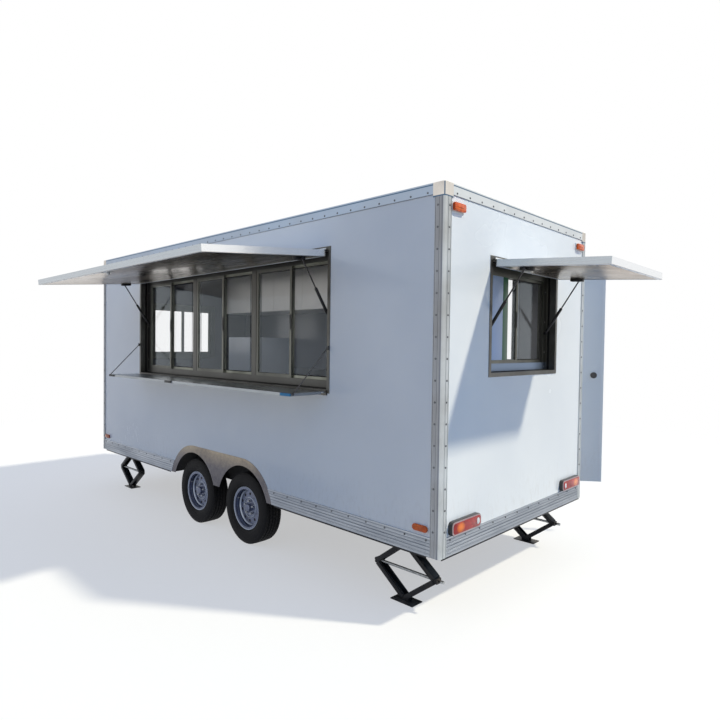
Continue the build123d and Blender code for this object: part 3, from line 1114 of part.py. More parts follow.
# Lamps
def lamps():
    """Tail lamps, rear dome markers and side markers."""
    face = REAR + TRIM
    tails = []
    for side in (-1, 1):
        outer = side * (HALF - TAIL_LAMP_FROM_SIDE)
        y = sorted((outer, outer - side * TAIL_LAMP_LENGTH))
        low = BASE + TAIL_LAMP_LOW
        lamp = block((face - TAIL_LAMP_DEPTH, face), y, (low, low + TAIL_LAMP_HEIGHT))
        ends = lamp.edges().filter_by(Axis.X)
        lamp = fillet(ends, TAIL_LAMP_HEIGHT * TAIL_LAMP_ROUND_SHARE)
        for share in TAIL_LENS_SHARES:
            joint = outer - side * TAIL_LAMP_LENGTH * share
            pair = (joint - GROOVE_DEPTH / 2, joint + GROOVE_DEPTH / 2)
            lamp = lamp - block((face - TAIL_LAMP_DEPTH - OVERRUN, face - TAIL_LAMP_DEPTH + GROOVE_WIDTH), pair,
                                (low - OVERRUN, low + TAIL_LAMP_HEIGHT + OVERRUN))
        tails.append(lamp)
    save("tail_lamps", *tails)

    markers = []
    for side in (-1, 1):
        y = side * (HALF - MARKER_FROM_SIDE)
        lamp = marker(MARKER_LENGTH, MARKER_HEIGHT, MARKER_DEPTH)
        markers.append(Pos(face, y, TOP - MARKER_BELOW_TOP) * lamp)
        for x in (REAR + SIDE_MARKER_FROM_END, FRONT - SIDE_MARKER_FROM_END):
            turn = 90 if side < 0 else -90
            lamp = marker(SIDE_MARKER_LENGTH, SIDE_MARKER_HEIGHT, SIDE_MARKER_DEPTH)
            markers.append(Pos(x, side * PANEL_FACE, BASE + SIDE_MARKER_UP) * Rot(0, 0, turn) * lamp)
    save("marker_lamps", *markers)


TAIL_LAMP_ROUND_SHARE = 0.3
TAIL_LENS_SHARES = (0.26, 0.82)


def marker(length, height, depth):
    """Lamp that stands out towards -X, its back at zero, with a wide bevel round its lens."""
    lens = extrude(Rectangle(length, height), depth)
    lens = chamfer(lens.faces().sort_by(Axis.Z)[-1].edges(), depth * MARKER_ROUND_SHARE)
    return Rot(0, -90, 0) * Rot(0, 0, 90) * lens


MARKER_ROUND_SHARE = 0.5


# Kitchen
def fronts(span, face, height, count, way):
    """Seams round a row of doors, as cuts, and a bar handle near each door's top."""
    pitch = (span[1] - span[0]) / count
    deep = sorted((face - way * FRONT_SEAM, face + way * OVERRUN))
    seams = [block((span[0] + pitch * k - FRONT_SEAM / 2, span[0] + pitch * k + FRONT_SEAM / 2), deep, height)
             for k in range(1, count)]
    seams.append(block(span, deep, (height[1] - FRONT_SEAM, height[1])))
    handles = []
    for k in range(count):
        middle = span[0] + pitch * (k + HANDLE_PLACE_SHARE)
        ends = (middle - HANDLE_LENGTH / 2, middle + HANDLE_LENGTH / 2)
        z = (height[1] - HANDLE_DROP, height[1] - HANDLE_DROP + HANDLE_BAR)
        bar = block(ends, sorted((face, face + way * HANDLE_STAND)), z)
        hold = block((ends[0] + HANDLE_BAR, ends[1] - HANDLE_BAR),
                     sorted((face - way * OVERRUN, face + way * (HANDLE_STAND - HANDLE_BAR))), z)
        handles.append(bar - hold)
    return seams, handles


HANDLE_PLACE_SHARE = 0.5


def kitchen():
    """Counters, fridge and overhead cupboards along both sides."""
    side = INNER_FACE - FURNITURE_GAP
    top = (BASE + COUNTER_HEIGHT - WORKTOP, BASE + COUNTER_HEIGHT)
    door_height = (FLOOR_TOP + KICK_HEIGHT, top[0])
    hood = arch_form(HOOD_RADIUS + FURNITURE_GAP, (HOOD_INNER_Y - FURNITURE_GAP, HALF))

    left_y = (side - LEFT_COUNTER_DEPTH, side)
    left = block(SERVING_X, left_y, top)
    body = block(SERVING_X, (left_y[0] + WORKTOP_NOSE, left_y[1]), (FLOOR_TOP, top[0]))
    kick_z = (FLOOR_TOP, FLOOR_TOP + KICK_HEIGHT)
    kick = block(SERVING_X, (left_y[0], left_y[0] + WORKTOP_NOSE + KICK_DEPTH), kick_z)
    seams, handles = fronts(SERVING_X, left_y[0] + WORKTOP_NOSE, door_height, LEFT_DOORS, -1)
    save("left_counter", left + body - kick - hood - seams + handles)

    fridge_x = (FRONT - FRIDGE_FROM_FRONT - FRIDGE_WIDTH, FRONT - FRIDGE_FROM_FRONT)
    right_x = (REAR + RIGHT_COUNTER_FROM_REAR, fridge_x[0] - FURNITURE_GAP)
    right_y = (-side, -side + RIGHT_COUNTER_DEPTH)
    right = block(right_x, right_y, top)
    body = block(right_x, (right_y[0], right_y[1] - WORKTOP_NOSE), (FLOOR_TOP, top[0]))
    kick = block(right_x, (right_y[1] - WORKTOP_NOSE - KICK_DEPTH, right_y[1]), kick_z)
    seams, handles = fronts(right_x, right_y[1] - WORKTOP_NOSE, door_height, RIGHT_DOORS, 1)
    splash = block(right_x, (right_y[0], right_y[0] + WORKTOP_NOSE), (top[1], top[1] + SPLASH_HEIGHT))
    save("right_counter", right + body + splash - kick - other_side(hood) - seams + handles)

    fridge_y = (-side, -side + FRIDGE_DEPTH)
    fridge_top = TOP - FRIDGE_DROP
    fridge = block(fridge_x, fridge_y, (FLOOR_TOP, fridge_top))
    seam = (fridge_y[1] - FRIDGE_DOOR - FRIDGE_SEAM, fridge_y[1] - FRIDGE_DOOR)
    ring = block((fridge_x[0] - OVERRUN, fridge_x[1] + OVERRUN), seam, (FLOOR_TOP, TOP))
    core = block((fridge_x[0] + FRIDGE_SEAM, fridge_x[1] - FRIDGE_SEAM), seam,
                 (FLOOR_TOP, fridge_top - FRIDGE_SEAM))
    past = (fridge_y[1] - FRIDGE_SEAM, fridge_y[1] + OVERRUN)
    slots = [block((fridge_x[0] + FRIDGE_DOOR, fridge_x[1] - FRIDGE_DOOR), past,
                   (FLOOR_TOP + GRILLE_PITCH * k, FLOOR_TOP + GRILLE_PITCH * k + GRILLE_PITCH / 2))
             for k in range(1, GRILLE_SLOTS + 1)]
    handle_x = fridge_x[0] + FRIDGE_DOOR
    grip = block((handle_x, handle_x + HANDLE_BAR), (fridge_y[1], fridge_y[1] + HANDLE_STAND),
                 (BASE + COUNTER_HEIGHT, fridge_top - HANDLE_DROP))
    save("fridge", fridge - (ring - core) - slots + grip)

    cupboard_x = (REAR + CUPBOARD_FROM_REAR, FRONT - CUPBOARD_FROM_FRONT)
    height = (TOP - CUPBOARD_DROP, ROOF_FOOT - FURNITURE_GAP)
    front = -side + CUPBOARD_DEPTH
    cupboard = block(cupboard_x, (-side, front), height)
    seams, _ = fronts(cupboard_x, front, height, CUPBOARD_DOORS, 1)
    save("overhead_cupboards", cupboard - seams[:-1])


panels()
trims()
wheel_boxes()
chassis()
drawbar()
coupler()
jockey()
running_gear()
jacks()
windows()
flaps()
shelf()
door()
lamps()
kitchen()
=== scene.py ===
# %% [markdown]
# # Dressing a food trailer
#
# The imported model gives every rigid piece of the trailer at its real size. This lesson adds what the
# eye looks for: brushed rails, glossy panels, rubber, glass, rivets, tread, lenses and seals.
# Everything is in metres. +X points forward, +Y to the serving side and +Z up.

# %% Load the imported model
import json
import math

import bmesh
import bpy
from mathutils import Matrix, Vector


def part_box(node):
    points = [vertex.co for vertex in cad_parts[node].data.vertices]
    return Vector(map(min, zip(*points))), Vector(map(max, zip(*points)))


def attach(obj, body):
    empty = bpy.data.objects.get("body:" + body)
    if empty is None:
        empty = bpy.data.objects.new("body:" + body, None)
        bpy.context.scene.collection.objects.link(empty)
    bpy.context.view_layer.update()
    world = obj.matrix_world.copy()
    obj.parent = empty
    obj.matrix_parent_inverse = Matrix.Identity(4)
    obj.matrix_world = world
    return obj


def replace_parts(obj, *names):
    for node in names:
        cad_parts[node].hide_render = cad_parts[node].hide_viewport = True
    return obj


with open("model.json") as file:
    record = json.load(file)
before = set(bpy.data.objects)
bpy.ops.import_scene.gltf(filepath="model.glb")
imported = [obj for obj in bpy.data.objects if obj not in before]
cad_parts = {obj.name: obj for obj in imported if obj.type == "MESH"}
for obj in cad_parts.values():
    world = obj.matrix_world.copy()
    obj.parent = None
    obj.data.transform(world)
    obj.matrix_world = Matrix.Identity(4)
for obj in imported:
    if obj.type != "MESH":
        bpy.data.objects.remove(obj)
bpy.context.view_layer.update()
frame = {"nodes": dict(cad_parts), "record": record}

# %% [markdown]
# ## Measures taken from the model
#
# The rails wrap the whole body, so their box gives the body's sides, ends and roof. Sizes that the model
# doesn't state by itself, such as how deep the rails stand out, are named here once.

# %% Read the body's main planes
rails_low, rails_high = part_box("top_rails")
REAR, FRONT = rails_low.x, rails_high.x
LEFT, ROOF, BASE = rails_high.y, rails_high.z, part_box("bottom_rails")[0].z
RAIL_PROUD = 0.006
POST_WIDTH = 0.072
CAP_WIDTH = 0.088
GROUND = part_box("jack_rear_left")[0].z
SKIN = LEFT - RAIL_PROUD
MIDDLE_X = (REAR + FRONT) / 2
HALF_LENGTH = (FRONT - REAR) / 2
ENDS = ("front", "rear")
SIDES = (("left", 1), ("right", -1))
CORNERS = [(f"{end}_{side}", out) for end in ENDS for side, out in SIDES]
print(f"body {FRONT - REAR:.2f} m long, {2 * LEFT:.2f} m wide, roof {ROOF - GROUND:.2f} m above the ground")

# %% [markdown]
# ## The photograph's view
#
# The camera's place was worked out from the corners of the body. It stands at a person's eye height,
# 2 m behind and 2.7 m to the side of the near corner, and is turned a hair about its own axis.

# %% Place the camera
EYE = Vector((-8.210, 3.780, 1.284))
YAW, PITCH, ROLL = (math.radians(angle) for angle in (-46.126, -1.446, -0.735))
FOCAL_SHARE = 561.6 / 720
SENSOR = 36.0


def aim_camera():
    """A camera at the eye, turned by yaw, pitch and roll."""
    ahead = Vector((math.cos(YAW) * math.cos(PITCH), math.sin(YAW) * math.cos(PITCH), math.sin(PITCH)))
    level = ahead.cross(Vector((0, 0, 1))).normalized()
    right = level * math.cos(ROLL) + ahead.cross(level) * math.sin(ROLL)
    camera = bpy.data.objects.new("camera", bpy.data.cameras.new("camera"))
    bpy.context.scene.collection.objects.link(camera)
    camera.data.sensor_width = SENSOR
    camera.data.lens = SENSOR * FOCAL_SHARE
    turn = Matrix((right, ahead.cross(right) * -1, ahead * -1)).transposed()
    camera.matrix_world = Matrix.Translation(EYE) @ turn.to_4x4()
    bpy.context.scene.camera = camera
    return camera


print("focal length", round(aim_camera().data.lens, 2), "mm")

# %% [markdown]
# ## Shader maths as plain expressions
#
# A material is a graph of nodes, and long graphs are hard to read. A Field wraps one socket, and Python's
# operators add its Math nodes, so `1 - mask * 0.5` reads as it does on paper. A Graph makes any other node
# from its type, its settings and what its sockets get, and a Finish is the graph of one material.

# %% Field, Graph and Finish
class Field:
    """A value worked out at each point of a surface."""

    def __init__(self, graph, socket):
        self.graph = graph
        self.socket = socket

    def __add__(self, other):
        return self.graph.math("ADD", self, other)

    def __sub__(self, other):
        return self.graph.math("SUBTRACT", self, other)

    def __rsub__(self, other):
        return self.graph.math("SUBTRACT", other, self)

    def __mul__(self, other):
        return self.graph.math("MULTIPLY", self, other)

    __radd__ = __add__
    __rmul__ = __mul__


class Graph:
    """A shader tree whose nodes are made in one line each."""

    def __init__(self, tree):
        self.tree = tree
        self.place = self.node("ShaderNodeTexCoord", output="Object")

    def give(self, socket, value):
        if isinstance(value, Field):
            self.tree.links.new(value.socket, socket)
        else:
            socket.default_value = value

    def node(self, kind, settings=None, inputs=None, output=0):
        """Any node: its settings first, then its sockets by name or, in a list, by place."""
        made = self.tree.nodes.new(kind)
        for label, value in (settings or {}).items():
            setattr(made, label, value)
        usable = [socket for socket in made.inputs if socket.enabled]
        named = inputs.items() if isinstance(inputs, dict) else enumerate(inputs or ())
        for key, value in named:
            self.give(usable[key] if isinstance(key, int) else next(s for s in usable if s.name == key), value)
        shown = [socket for socket in made.outputs if socket.enabled]
        return Field(self, shown[output] if isinstance(output, int) else made.outputs[output])

    def math(self, operation, *values):
        return self.node("ShaderNodeMath", {"operation": operation}, values)

    def noise(self, scale, stretch=(1, 1, 1), detail=2.0, roughness=0.5, distortion=0.0):
        """Cloudy values from 0 to 1; a small stretch draws the clouds out along that axis."""
        place = self.node("ShaderNodeVectorMath", {"operation": "MULTIPLY"}, [self.place, stretch])
        values = {"Vector": place, "Scale": scale, "Detail": detail, "Roughness": roughness,
                  "Distortion": distortion}
        return self.node("ShaderNodeTexNoise", None, values)

    def cells(self, scale, output=0):
        """Voronoi cells, for spangle, flakes and grit."""
        return self.node("ShaderNodeTexVoronoi", None, {"Vector": self.place, "Scale": scale}, output)

    def axis(self, letter, source=None):
        """One coordinate of the place, or of another vector."""
        return self.node("ShaderNodeSeparateXYZ", None, [source or self.place], "XYZ".index(letter))

    def off(self, letter, middle=0.0):
        """How far a point lies from a middle plane, to either side."""
        return self.math("ABSOLUTE", self.axis(letter) - middle)

    def faces(self, letter):
        """How far the surface faces along one axis, from -1 to 1."""
        return self.axis(letter, self.node("ShaderNodeTexCoord", output="Normal"))

    def between(self, value, low, high, to_low=0.0, to_high=1.0):
        """Where the value lies between low and high, held inside that span."""
        return self.node("ShaderNodeMapRange", {"clamp": True}, [value, low, high, to_low, to_high])

    def mix(self, mask, first, second):
        """A colour between two colours."""
        pair = [c if isinstance(c, Field) else (*c, 1) for c in (first, second)]
        return self.node("ShaderNodeMix", {"data_type": "RGBA"}, [mask, *pair])

    def seen(self):
        """One for rays that come from the eye, from a mirror or through glass, and nothing for the rest."""
        kinds = ("Is Camera Ray", "Is Glossy Ray", "Is Transmission Ray")
        camera, mirror, glass = (self.node("ShaderNodeLightPath", output=kind) for kind in kinds)
        return self.node("ShaderNodeMath", {"operation": "ADD", "use_clamp": True}, [camera + mirror, glass])


class Finish(Graph):
    """One material around its Principled shader."""

    def __init__(self, name, colour, roughness, metallic=0.0, **shader):
        self.material = bpy.data.materials.new(name)
        self.material.use_nodes = True
        super().__init__(self.material.node_tree)
        self.shader = self.tree.nodes["Principled BSDF"]
        self.relief = None
        self.set("Base Color", (*colour, 1))
        self.set("Roughness", roughness)
        self.set("Metallic", metallic)
        for label, value in shader.items():
            self.set(label.replace("_", " ").title().replace("Ior", "IOR"), value)

    def set(self, label, value):
        """Give one of the shader's sockets a value or a link."""
        self.give(self.shader.inputs[label], value)

    def raise_by(self, height, distance, strength=1.0):
        """Add a layer of relief; distance is its height in metres."""
        inputs = {"Height": height, "Distance": distance, "Strength": strength}
        if self.relief:
            inputs["Normal"] = self.relief
        self.relief = self.node("ShaderNodeBump", None, inputs)
        self.set("Normal", self.relief)


# %% [markdown]
# ## Wall panels
#
# The walls are glass-fibre skins on foam, with a glossy gel coat. Such a skin is never quite flat: it
# carries a slow wave, which bends reflections, and a fine orange peel. Two layers of relief give both,
# and a faint change of tone keeps five metres of white from looking like paper. Inside, the faces are
# painted dark grey as painted shade for the dim inside, told apart by their distance from the body's outer faces.

# %% Gel coat
PANEL_WHITE = (0.80, 0.82, 0.84)
PANEL_SHADE = (0.70, 0.73, 0.77)
PANEL_DUST = (0.52, 0.49, 0.45)
DUST_TOP = BASE + 0.45
# Painted shade: the inner faces are painted this dark grey, standing in for the dim inside of the body.
INTERIOR_SHADE_GREY = (0.10, 0.105, 0.13)
INTERIOR_SHADE_AT = 0.031
SIDE_INTERIOR_SHADE_AT = 0.033
INTERIOR_SHADE_EDGE = 0.004


def gel_coat():
    finish = Finish("gel_coat", PANEL_WHITE, 0.16, coat_weight=0.35, coat_roughness=0.06)
    clouds = finish.noise(0.9, detail=3.0)
    skin = finish.mix(finish.between(clouds, 0.35, 0.75), PANEL_WHITE, PANEL_SHADE)
    specks = finish.between(finish.noise(34, (1, 1, 0.35), 6.0, 0.7), 0.5, 0.8)
    dust = finish.between(finish.axis("Z"), DUST_TOP, BASE) * specks * 0.55
    # Mask of the inner faces, which take the painted interior shade.
    inside = 1.0
    for reach, face in ((finish.off("X", MIDDLE_X), HALF_LENGTH - INTERIOR_SHADE_AT), (finish.off("Y"), LEFT - SIDE_INTERIOR_SHADE_AT),
                        (finish.axis("Z"), ROOF - INTERIOR_SHADE_AT)):
        inside = finish.between(reach, face, face - INTERIOR_SHADE_EDGE) * inside
    finish.set("Base Color", finish.mix(inside, finish.mix(dust, skin, PANEL_DUST), INTERIOR_SHADE_GREY))
    finish.set("Roughness", finish.between(clouds + dust, 0.3, 1.0, 0.12, 0.42))
    finish.raise_by(finish.noise(1.6, (1, 1, 0.6)), 0.012, 0.35)
    finish.raise_by(finish.noise(260, detail=1.0), 0.00015, 0.5)
    return finish.material


# %% [markdown]
# ## Aluminium sections
#
# Posts and rails are extruded, so their grain runs along them. Noise squeezed hard across the length and
# drawn out along it gives that grain. Rails run along X and Y, posts along Z, and only the stretch and the
# tone differ. The tones carry painted light: the sides are painted darker and bluer as shade under the sky,
# the ends paler as sunlight. The corner caps are cast, and the bottom rail is dull, with grooves up its face
# that are painted dark as shade.

# %% Extruded and cast aluminium
ALONG_RAIL = (3, 3, 420)
ALONG_POST = (420, 420, 3)
# Painted light: side flanges dark as shade, end flanges pale as sun, the rolled corner darkest as shade.
SIDE_POST_SHADED = (0.27, 0.29, 0.33)
END_POST_LIT = (0.56, 0.60, 0.63)
POST_CORNER_SHADE = (0.10, 0.12, 0.17)
POST_STAIN = (0.17, 0.16, 0.145)
# Painted light: side rails bluish as sky-lit shade, end rails pale as sun.
SIDE_RAIL_SHADE_SKY = (0.34, 0.42, 0.54)
END_RAIL_LIT = (0.72, 0.76, 0.78)
RAIL_STAIN = (0.34, 0.37, 0.42)
RAIL_LINE = (0.08, 0.14, 0.22)
CAP_TONE = (0.72, 0.68, 0.63)
CAP_STAIN = (0.46, 0.44, 0.42)
SILL_BRIGHT = (0.47, 0.50, 0.55)
SILL_DULL = (0.24, 0.27, 0.32)
SILL_GROOVE_SHADE = (0.13, 0.15, 0.19)
GROOVE_PITCH = 0.0105


def drawn(name, stretch, tone, spots=2.4, roughness=(0.26, 0.46)):
    """Metal with its grain along it; tone works its colour out from the stains, and paints light and shade on posts
    and top rails.
    """
    finish = Finish(name, SIDE_POST_SHADED, 0.3, 1.0)
    grain = finish.noise(1.0, stretch, 3.0, 0.6)
    stain = finish.noise(spots, detail=5.0, roughness=0.6)
    finish.set("Base Color", tone(finish, stain))
    finish.set("Roughness", finish.between(grain + stain * 0.6, 0.5, 1.1, *roughness))
    finish.raise_by(grain, 0.0003, 0.35)
    return finish.material


def extrusion(name, stretch, bright, dull, roughness=(0.24, 0.46)):
    """A plain section, dull where it's stained."""
    def tone(finish, stain):
        return finish.mix(finish.between(stain, 0.35, 0.8), bright, dull)
    return drawn(name, stretch, tone, 3.2, roughness)


def sideways(finish):
    """One on the faces along the trailer's sides, nothing on those across its ends."""
    return finish.between(finish.off("Y"), LEFT - 0.0035, LEFT - 0.0015)


def post_painted_light(finish, stain):
    """Painted light: side flange darker than end flange as shade against sun, darkest where it rolls round the
    corner.
    """
    near = finish.between(finish.off("X", MIDDLE_X), HALF_LENGTH - 0.026, HALF_LENGTH - 0.016)
    clean = finish.mix(sideways(finish), END_POST_LIT, finish.mix(near, SIDE_POST_SHADED, POST_CORNER_SHADE))
    return finish.mix(finish.between(stain, 0.4, 0.8, 0.0, 0.55), clean, POST_STAIN)


def top_rail_painted_light(finish, stain):
    """Painted light: pale ends as in sun, bluer sides as in sky-lit shade, with the dark line of the roof's edge."""
    height = finish.axis("Z")
    line = finish.between(height, ROOF - 0.019, ROOF - 0.016) * finish.between(height, ROOF - 0.009, ROOF - 0.012)
    clean = finish.mix(sideways(finish), END_RAIL_LIT, SIDE_RAIL_SHADE_SKY)
    worn = finish.mix(finish.between(stain, 0.35, 0.8, 0.0, 0.5), clean, RAIL_STAIN)
    return finish.mix(line, worn, RAIL_LINE)


def cast_cap(foot):
    """Cast corner: pale, with a dark seam where it rolls round the corner and along its foot."""
    finish = Finish("cast_cap", CAP_TONE, 0.3, 1.0)
    stain = finish.noise(7, detail=5.0, roughness=0.6)
    roll = (finish.between(finish.off("X", MIDDLE_X), HALF_LENGTH - 0.012, HALF_LENGTH - 0.009)
            * finish.between(finish.off("Y"), LEFT - 0.012, LEFT - 0.009))
    seam = finish.between(roll + finish.between(finish.axis("Z"), foot + 0.009, foot + 0.006), 0.0, 1.0)
    worn = finish.mix(finish.between(stain, 0.35, 0.8), CAP_TONE, CAP_STAIN)
    finish.set("Base Color", finish.mix(seam, worn, RAIL_LINE))
    finish.set("Roughness", finish.between(stain, 0.3, 0.8, 0.26, 0.5))
    finish.raise_by(stain, 0.0004, 0.3)
    return finish.material


def sill():
    """Bottom rail: dull extruded metal with grooves at an even pitch up its face, painted dark as shade in them."""
    finish = Finish("extruded_sill", SILL_BRIGHT, 0.34, 1.0)
    wave = finish.math("PINGPONG", finish.axis("Z") - BASE, GROOVE_PITCH)
    groove = finish.between(wave, GROOVE_PITCH * 0.30, GROOVE_PITCH * 0.10)
    streak = finish.noise(1.0, (1.3, 1.3, 90), 3.0, 0.6)
    stain = finish.noise(2.1, (1, 1, 4), 4.0, 0.6)
    metal = finish.mix(finish.between(streak * 0.6 + stain * 0.5, 0.35, 0.75), SILL_BRIGHT, SILL_DULL)
    # The grooves are painted dark: painted shade in them.
    finish.set("Base Color", finish.mix(groove, metal, SILL_GROOVE_SHADE))
    finish.set("Roughness", finish.between(stain, 0.3, 0.8, 0.28, 0.5))
    finish.raise_by(1 - groove, 0.0012, 0.8)
    return finish.material


# %% [markdown]
# ## Windows and flaps
#
# The frames are anodised and darker than the rails; on the rear frame a reflection of the sky and the flap's
# shade are painted in. Clean glass shows what is behind it and mirrors more the more aslant it is seen, so it
# is a thin mirror that is nearly see-through from the front. The flaps have three faces: the wall's gel coat
# above, aluminium round the edge and a polished sheet below, whose warm brown is a painted reflection of the
# ground. The edges carry painted light, near white where they face forward or back and bluish grey where they
# face sideways. One material can hold all three, because the surface's own direction says which face it is.

# %% Anodised frame, glass and flap
FRAME_TONE = (0.27, 0.28, 0.245)
FRAME_DARK = (0.14, 0.145, 0.125)
MEMBER_TONE = (0.11, 0.11, 0.105)
# Painted reflection: blue tones of the rear frame's lower member, standing in for the sky it mirrors.
FOOT_SKY_REFLECTION = ((0.13, 0.18, 0.28), (0.24, 0.31, 0.42))
GLASS_TINT = (0.50, 0.56, 0.60)
# Painted reflection: the sheet under a flap is warm brown, standing in for the ground it mirrors.
MIRROR_GROUND_REFLECTION = (0.40, 0.34, 0.29)
MIRROR_BROWN_REFLECTION = (0.30, 0.235, 0.185)
# Painted light: flap edges facing forward or back are near white as sun, the others bluish grey as shade.
EDGE_SIDE_SHADED = ((0.52, 0.56, 0.60), (0.42, 0.46, 0.50))
EDGE_END_SUNLIT = ((0.94, 0.95, 0.96), (0.80, 0.82, 0.84))


def anodised(name, tone, smoothest):
    """Dull frame metal; tone works its colour out from the stains, and paints a sky reflection and shade on the rear
    frame.
    """
    finish = Finish(name, FRAME_TONE, 0.4, 1.0)
    stain = finish.noise(5, (1, 1, 0.3), 4.0, 0.6)
    finish.set("Base Color", tone(finish, stain))
    finish.set("Roughness", finish.between(stain, 0.3, 0.8, smoothest, 0.5))
    finish.raise_by(finish.noise(1.0, (40, 40, 400), 2.0), 0.0002, 0.3)
    return finish.material


def serving_tone(finish, stain):
    """The fixed member, whose face is furthest out, is darker than the sashes."""
    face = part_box("serving_frame")[1].y
    sash = finish.mix(finish.between(stain, 0.35, 0.75), FRAME_TONE, FRAME_DARK)
    return finish.mix(finish.between(finish.axis("Y"), face - 0.004, face - 0.002), sash, MEMBER_TONE)


def rear_frame_painted_light(finish, stain):
    """Painted light: the lower member is painted sky blue as a reflection, the rest is dull and painted dark as
    shade.
    """
    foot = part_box("rear_window_frame")[0].z
    low = finish.between(finish.axis("Z"), foot + 0.062, foot + 0.054)
    dull = finish.mix(finish.between(stain, 0.35, 0.75), FRAME_DARK, MEMBER_TONE)
    return finish.mix(low, dull, finish.mix(stain, *FOOT_SKY_REFLECTION))


def window_glass():
    finish = Finish("window_glass", GLASS_TINT, 0.04, 1.0)
    facing = finish.node("ShaderNodeLayerWeight", None, {"Blend": 0.5}, "Facing")
    film = finish.noise(2.3, (1, 1, 0.5), 4.0, 0.6)
    finish.set("Alpha", facing * facing * facing * 0.6 + film * 0.012 + 0.004)
    finish.set("Roughness", finish.between(film, 0.3, 0.8, 0.02, 0.09))
    return finish.material


def polish(finish):
    """Patches, grain and colour of the sheet under a flap; the warm brown and its patches are a painted reflection
    of the ground.
    """
    patches = finish.between(finish.noise(1.5, (1, 1.6, 1), 2.0, 0.4, 1.2), 0.35, 0.7)
    return patches, finish.noise(1.0, (3, 260, 260), 2.0), finish.mix(patches, MIRROR_GROUND_REFLECTION, MIRROR_BROWN_REFLECTION)


def mirror_sheet():
    finish = Finish("mirror_sheet", MIRROR_GROUND_REFLECTION, 0.26, 1.0)
    patches, grain, tone = polish(finish)
    finish.set("Base Color", tone)
    finish.set("Roughness", finish.between(grain + patches * 0.4, 0.4, 1.2, 0.22, 0.38))
    finish.raise_by(finish.noise(2.2), 0.008, 0.35)
    finish.raise_by(grain, 0.0002, 0.2)
    return finish.material


def flap_faces():
    finish = Finish("flap_faces", PANEL_WHITE, 0.2, 1.0)
    up = finish.faces("Z")
    top, under = finish.between(up, 0.45, 0.55), finish.between(up, -0.45, -0.55)
    _, grain, mirror = polish(finish)
    # Edges facing along X take the painted sunlit tone, the rest the painted shaded tone.
    lengthways = finish.between(finish.math("ABSOLUTE", finish.faces("X")), 0.4, 0.6)
    edge = finish.mix(lengthways, finish.mix(grain, *EDGE_SIDE_SHADED), finish.mix(grain, *EDGE_END_SUNLIT))
    skin = finish.mix(finish.between(finish.noise(1.1), 0.3, 0.8), PANEL_WHITE, PANEL_SHADE)
    finish.set("Base Color", finish.mix(top, finish.mix(under, edge, mirror), skin))
    finish.set("Metallic", 1 - top)
    finish.set("Roughness", under * -0.08 + grain * 0.12 + 0.2)
    finish.raise_by(finish.noise(2.4), 0.01, 0.3)
    return finish.material


# %% [markdown]
# ## Steel under the body
#
# The jacks and chassis are painted black, the drawbar and axles are dipped in zinc. Zinc cools into
# spangles, flat crystals with straight borders, which is what a Voronoi texture draws. Paint gets a fine
# peel, road dust where it faces up, and chips that show brown steel.

# %% Black paint, zinc and bright rod
PAINT_BLACK = (0.014, 0.014, 0.016)
ROAD_DUST = (0.20, 0.17, 0.14)
RUST = (0.13, 0.06, 0.03)
ZINC = (0.50, 0.52, 0.54)
ZINC_DARK = (0.34, 0.36, 0.38)
# Painted shade: the bright rod is near black, standing in for the shade it lies in.
ROD_SHADE_TONE = (0.040, 0.038, 0.040)


def black_paint(name, dust_share, gloss=0.38):
    finish = Finish(name, PAINT_BLACK, gloss, specular_ior_level=0.22)
    cloud = finish.noise(9, detail=6.0, roughness=0.65)
    dust = finish.between(finish.faces("Z"), -0.2, 1.0) * finish.between(cloud, 0.4, 0.75) * dust_share
    chips = finish.between(finish.noise(120, detail=3.0), 0.70, 0.73) * finish.between(cloud, 0.5, 0.6)
    finish.set("Base Color", finish.mix(chips, finish.mix(dust, PAINT_BLACK, ROAD_DUST), RUST))
    finish.set("Roughness", dust * 0.4 + chips * 0.3 + gloss)
    finish.raise_by(finish.noise(300, detail=1.0), 0.0002, 0.4)
    finish.raise_by(chips * -1, 0.0004, 0.6)
    return finish.material


def zinc():
    finish = Finish("zinc_dip", ZINC, 0.42, 1.0)
    spangle = finish.axis("X", finish.cells(55, output="Color"))
    stain = finish.between(finish.noise(7, detail=5.0, roughness=0.6), 0.4, 0.8)
    finish.set("Base Color", finish.mix(spangle * 0.6 + stain * 0.4, ZINC, ZINC_DARK))
    finish.set("Roughness", finish.between(spangle + stain, 0.0, 1.6, 0.30, 0.62))
    finish.raise_by(spangle, 0.0002, 0.4)
    return finish.material


def bright_rod():
    # Base colour painted near black as shade.
    finish = Finish("bright_rod", ROD_SHADE_TONE, 0.12, 1.0)
    oil = finish.noise(60, (1, 1, 0.2), 4.0)
    finish.set("Roughness", finish.between(oil, 0.3, 0.8, 0.05, 0.22))
    finish.raise_by(oil, 0.0001, 0.3)
    return finish.material


# %% [markdown]
# ## Rubber, wheel paint and checker plate
#
# Tyre rubber is nearly black but never even: the sidewall greys with dust. Wheel paint is a silver base
# with small flakes under a clear coat. The wheel boxes are checker plate, whose raised lozenges lie in
# alternate directions; they catch the light one by one and look mottled from a distance, and that mottle is
# painted into the colour as glints, along with painted light that makes the plate lighter and tanner towards
# its top and darker low down. Behind the outer plate the same boxes are sprayed with black underseal.

# %% Rubber, silver paint, checker plate
RUBBER = (0.0055, 0.0055, 0.0065)
RUBBER_DUST = (0.018, 0.017, 0.017)
SILVER = (0.17, 0.20, 0.30)
SILVER_DARK = (0.055, 0.065, 0.11)
UNDERSEAL = (0.014, 0.014, 0.015)
# Painted light: the mottle's dark tones are painted shade and its light tones painted glints; each pair runs from
# low down to the top.
PLATE_SHADED_MOTTLE = ((0.11, 0.105, 0.12), (0.26, 0.22, 0.17))
PLATE_GLINT_MOTTLE = ((0.20, 0.19, 0.20), (0.52, 0.44, 0.30))


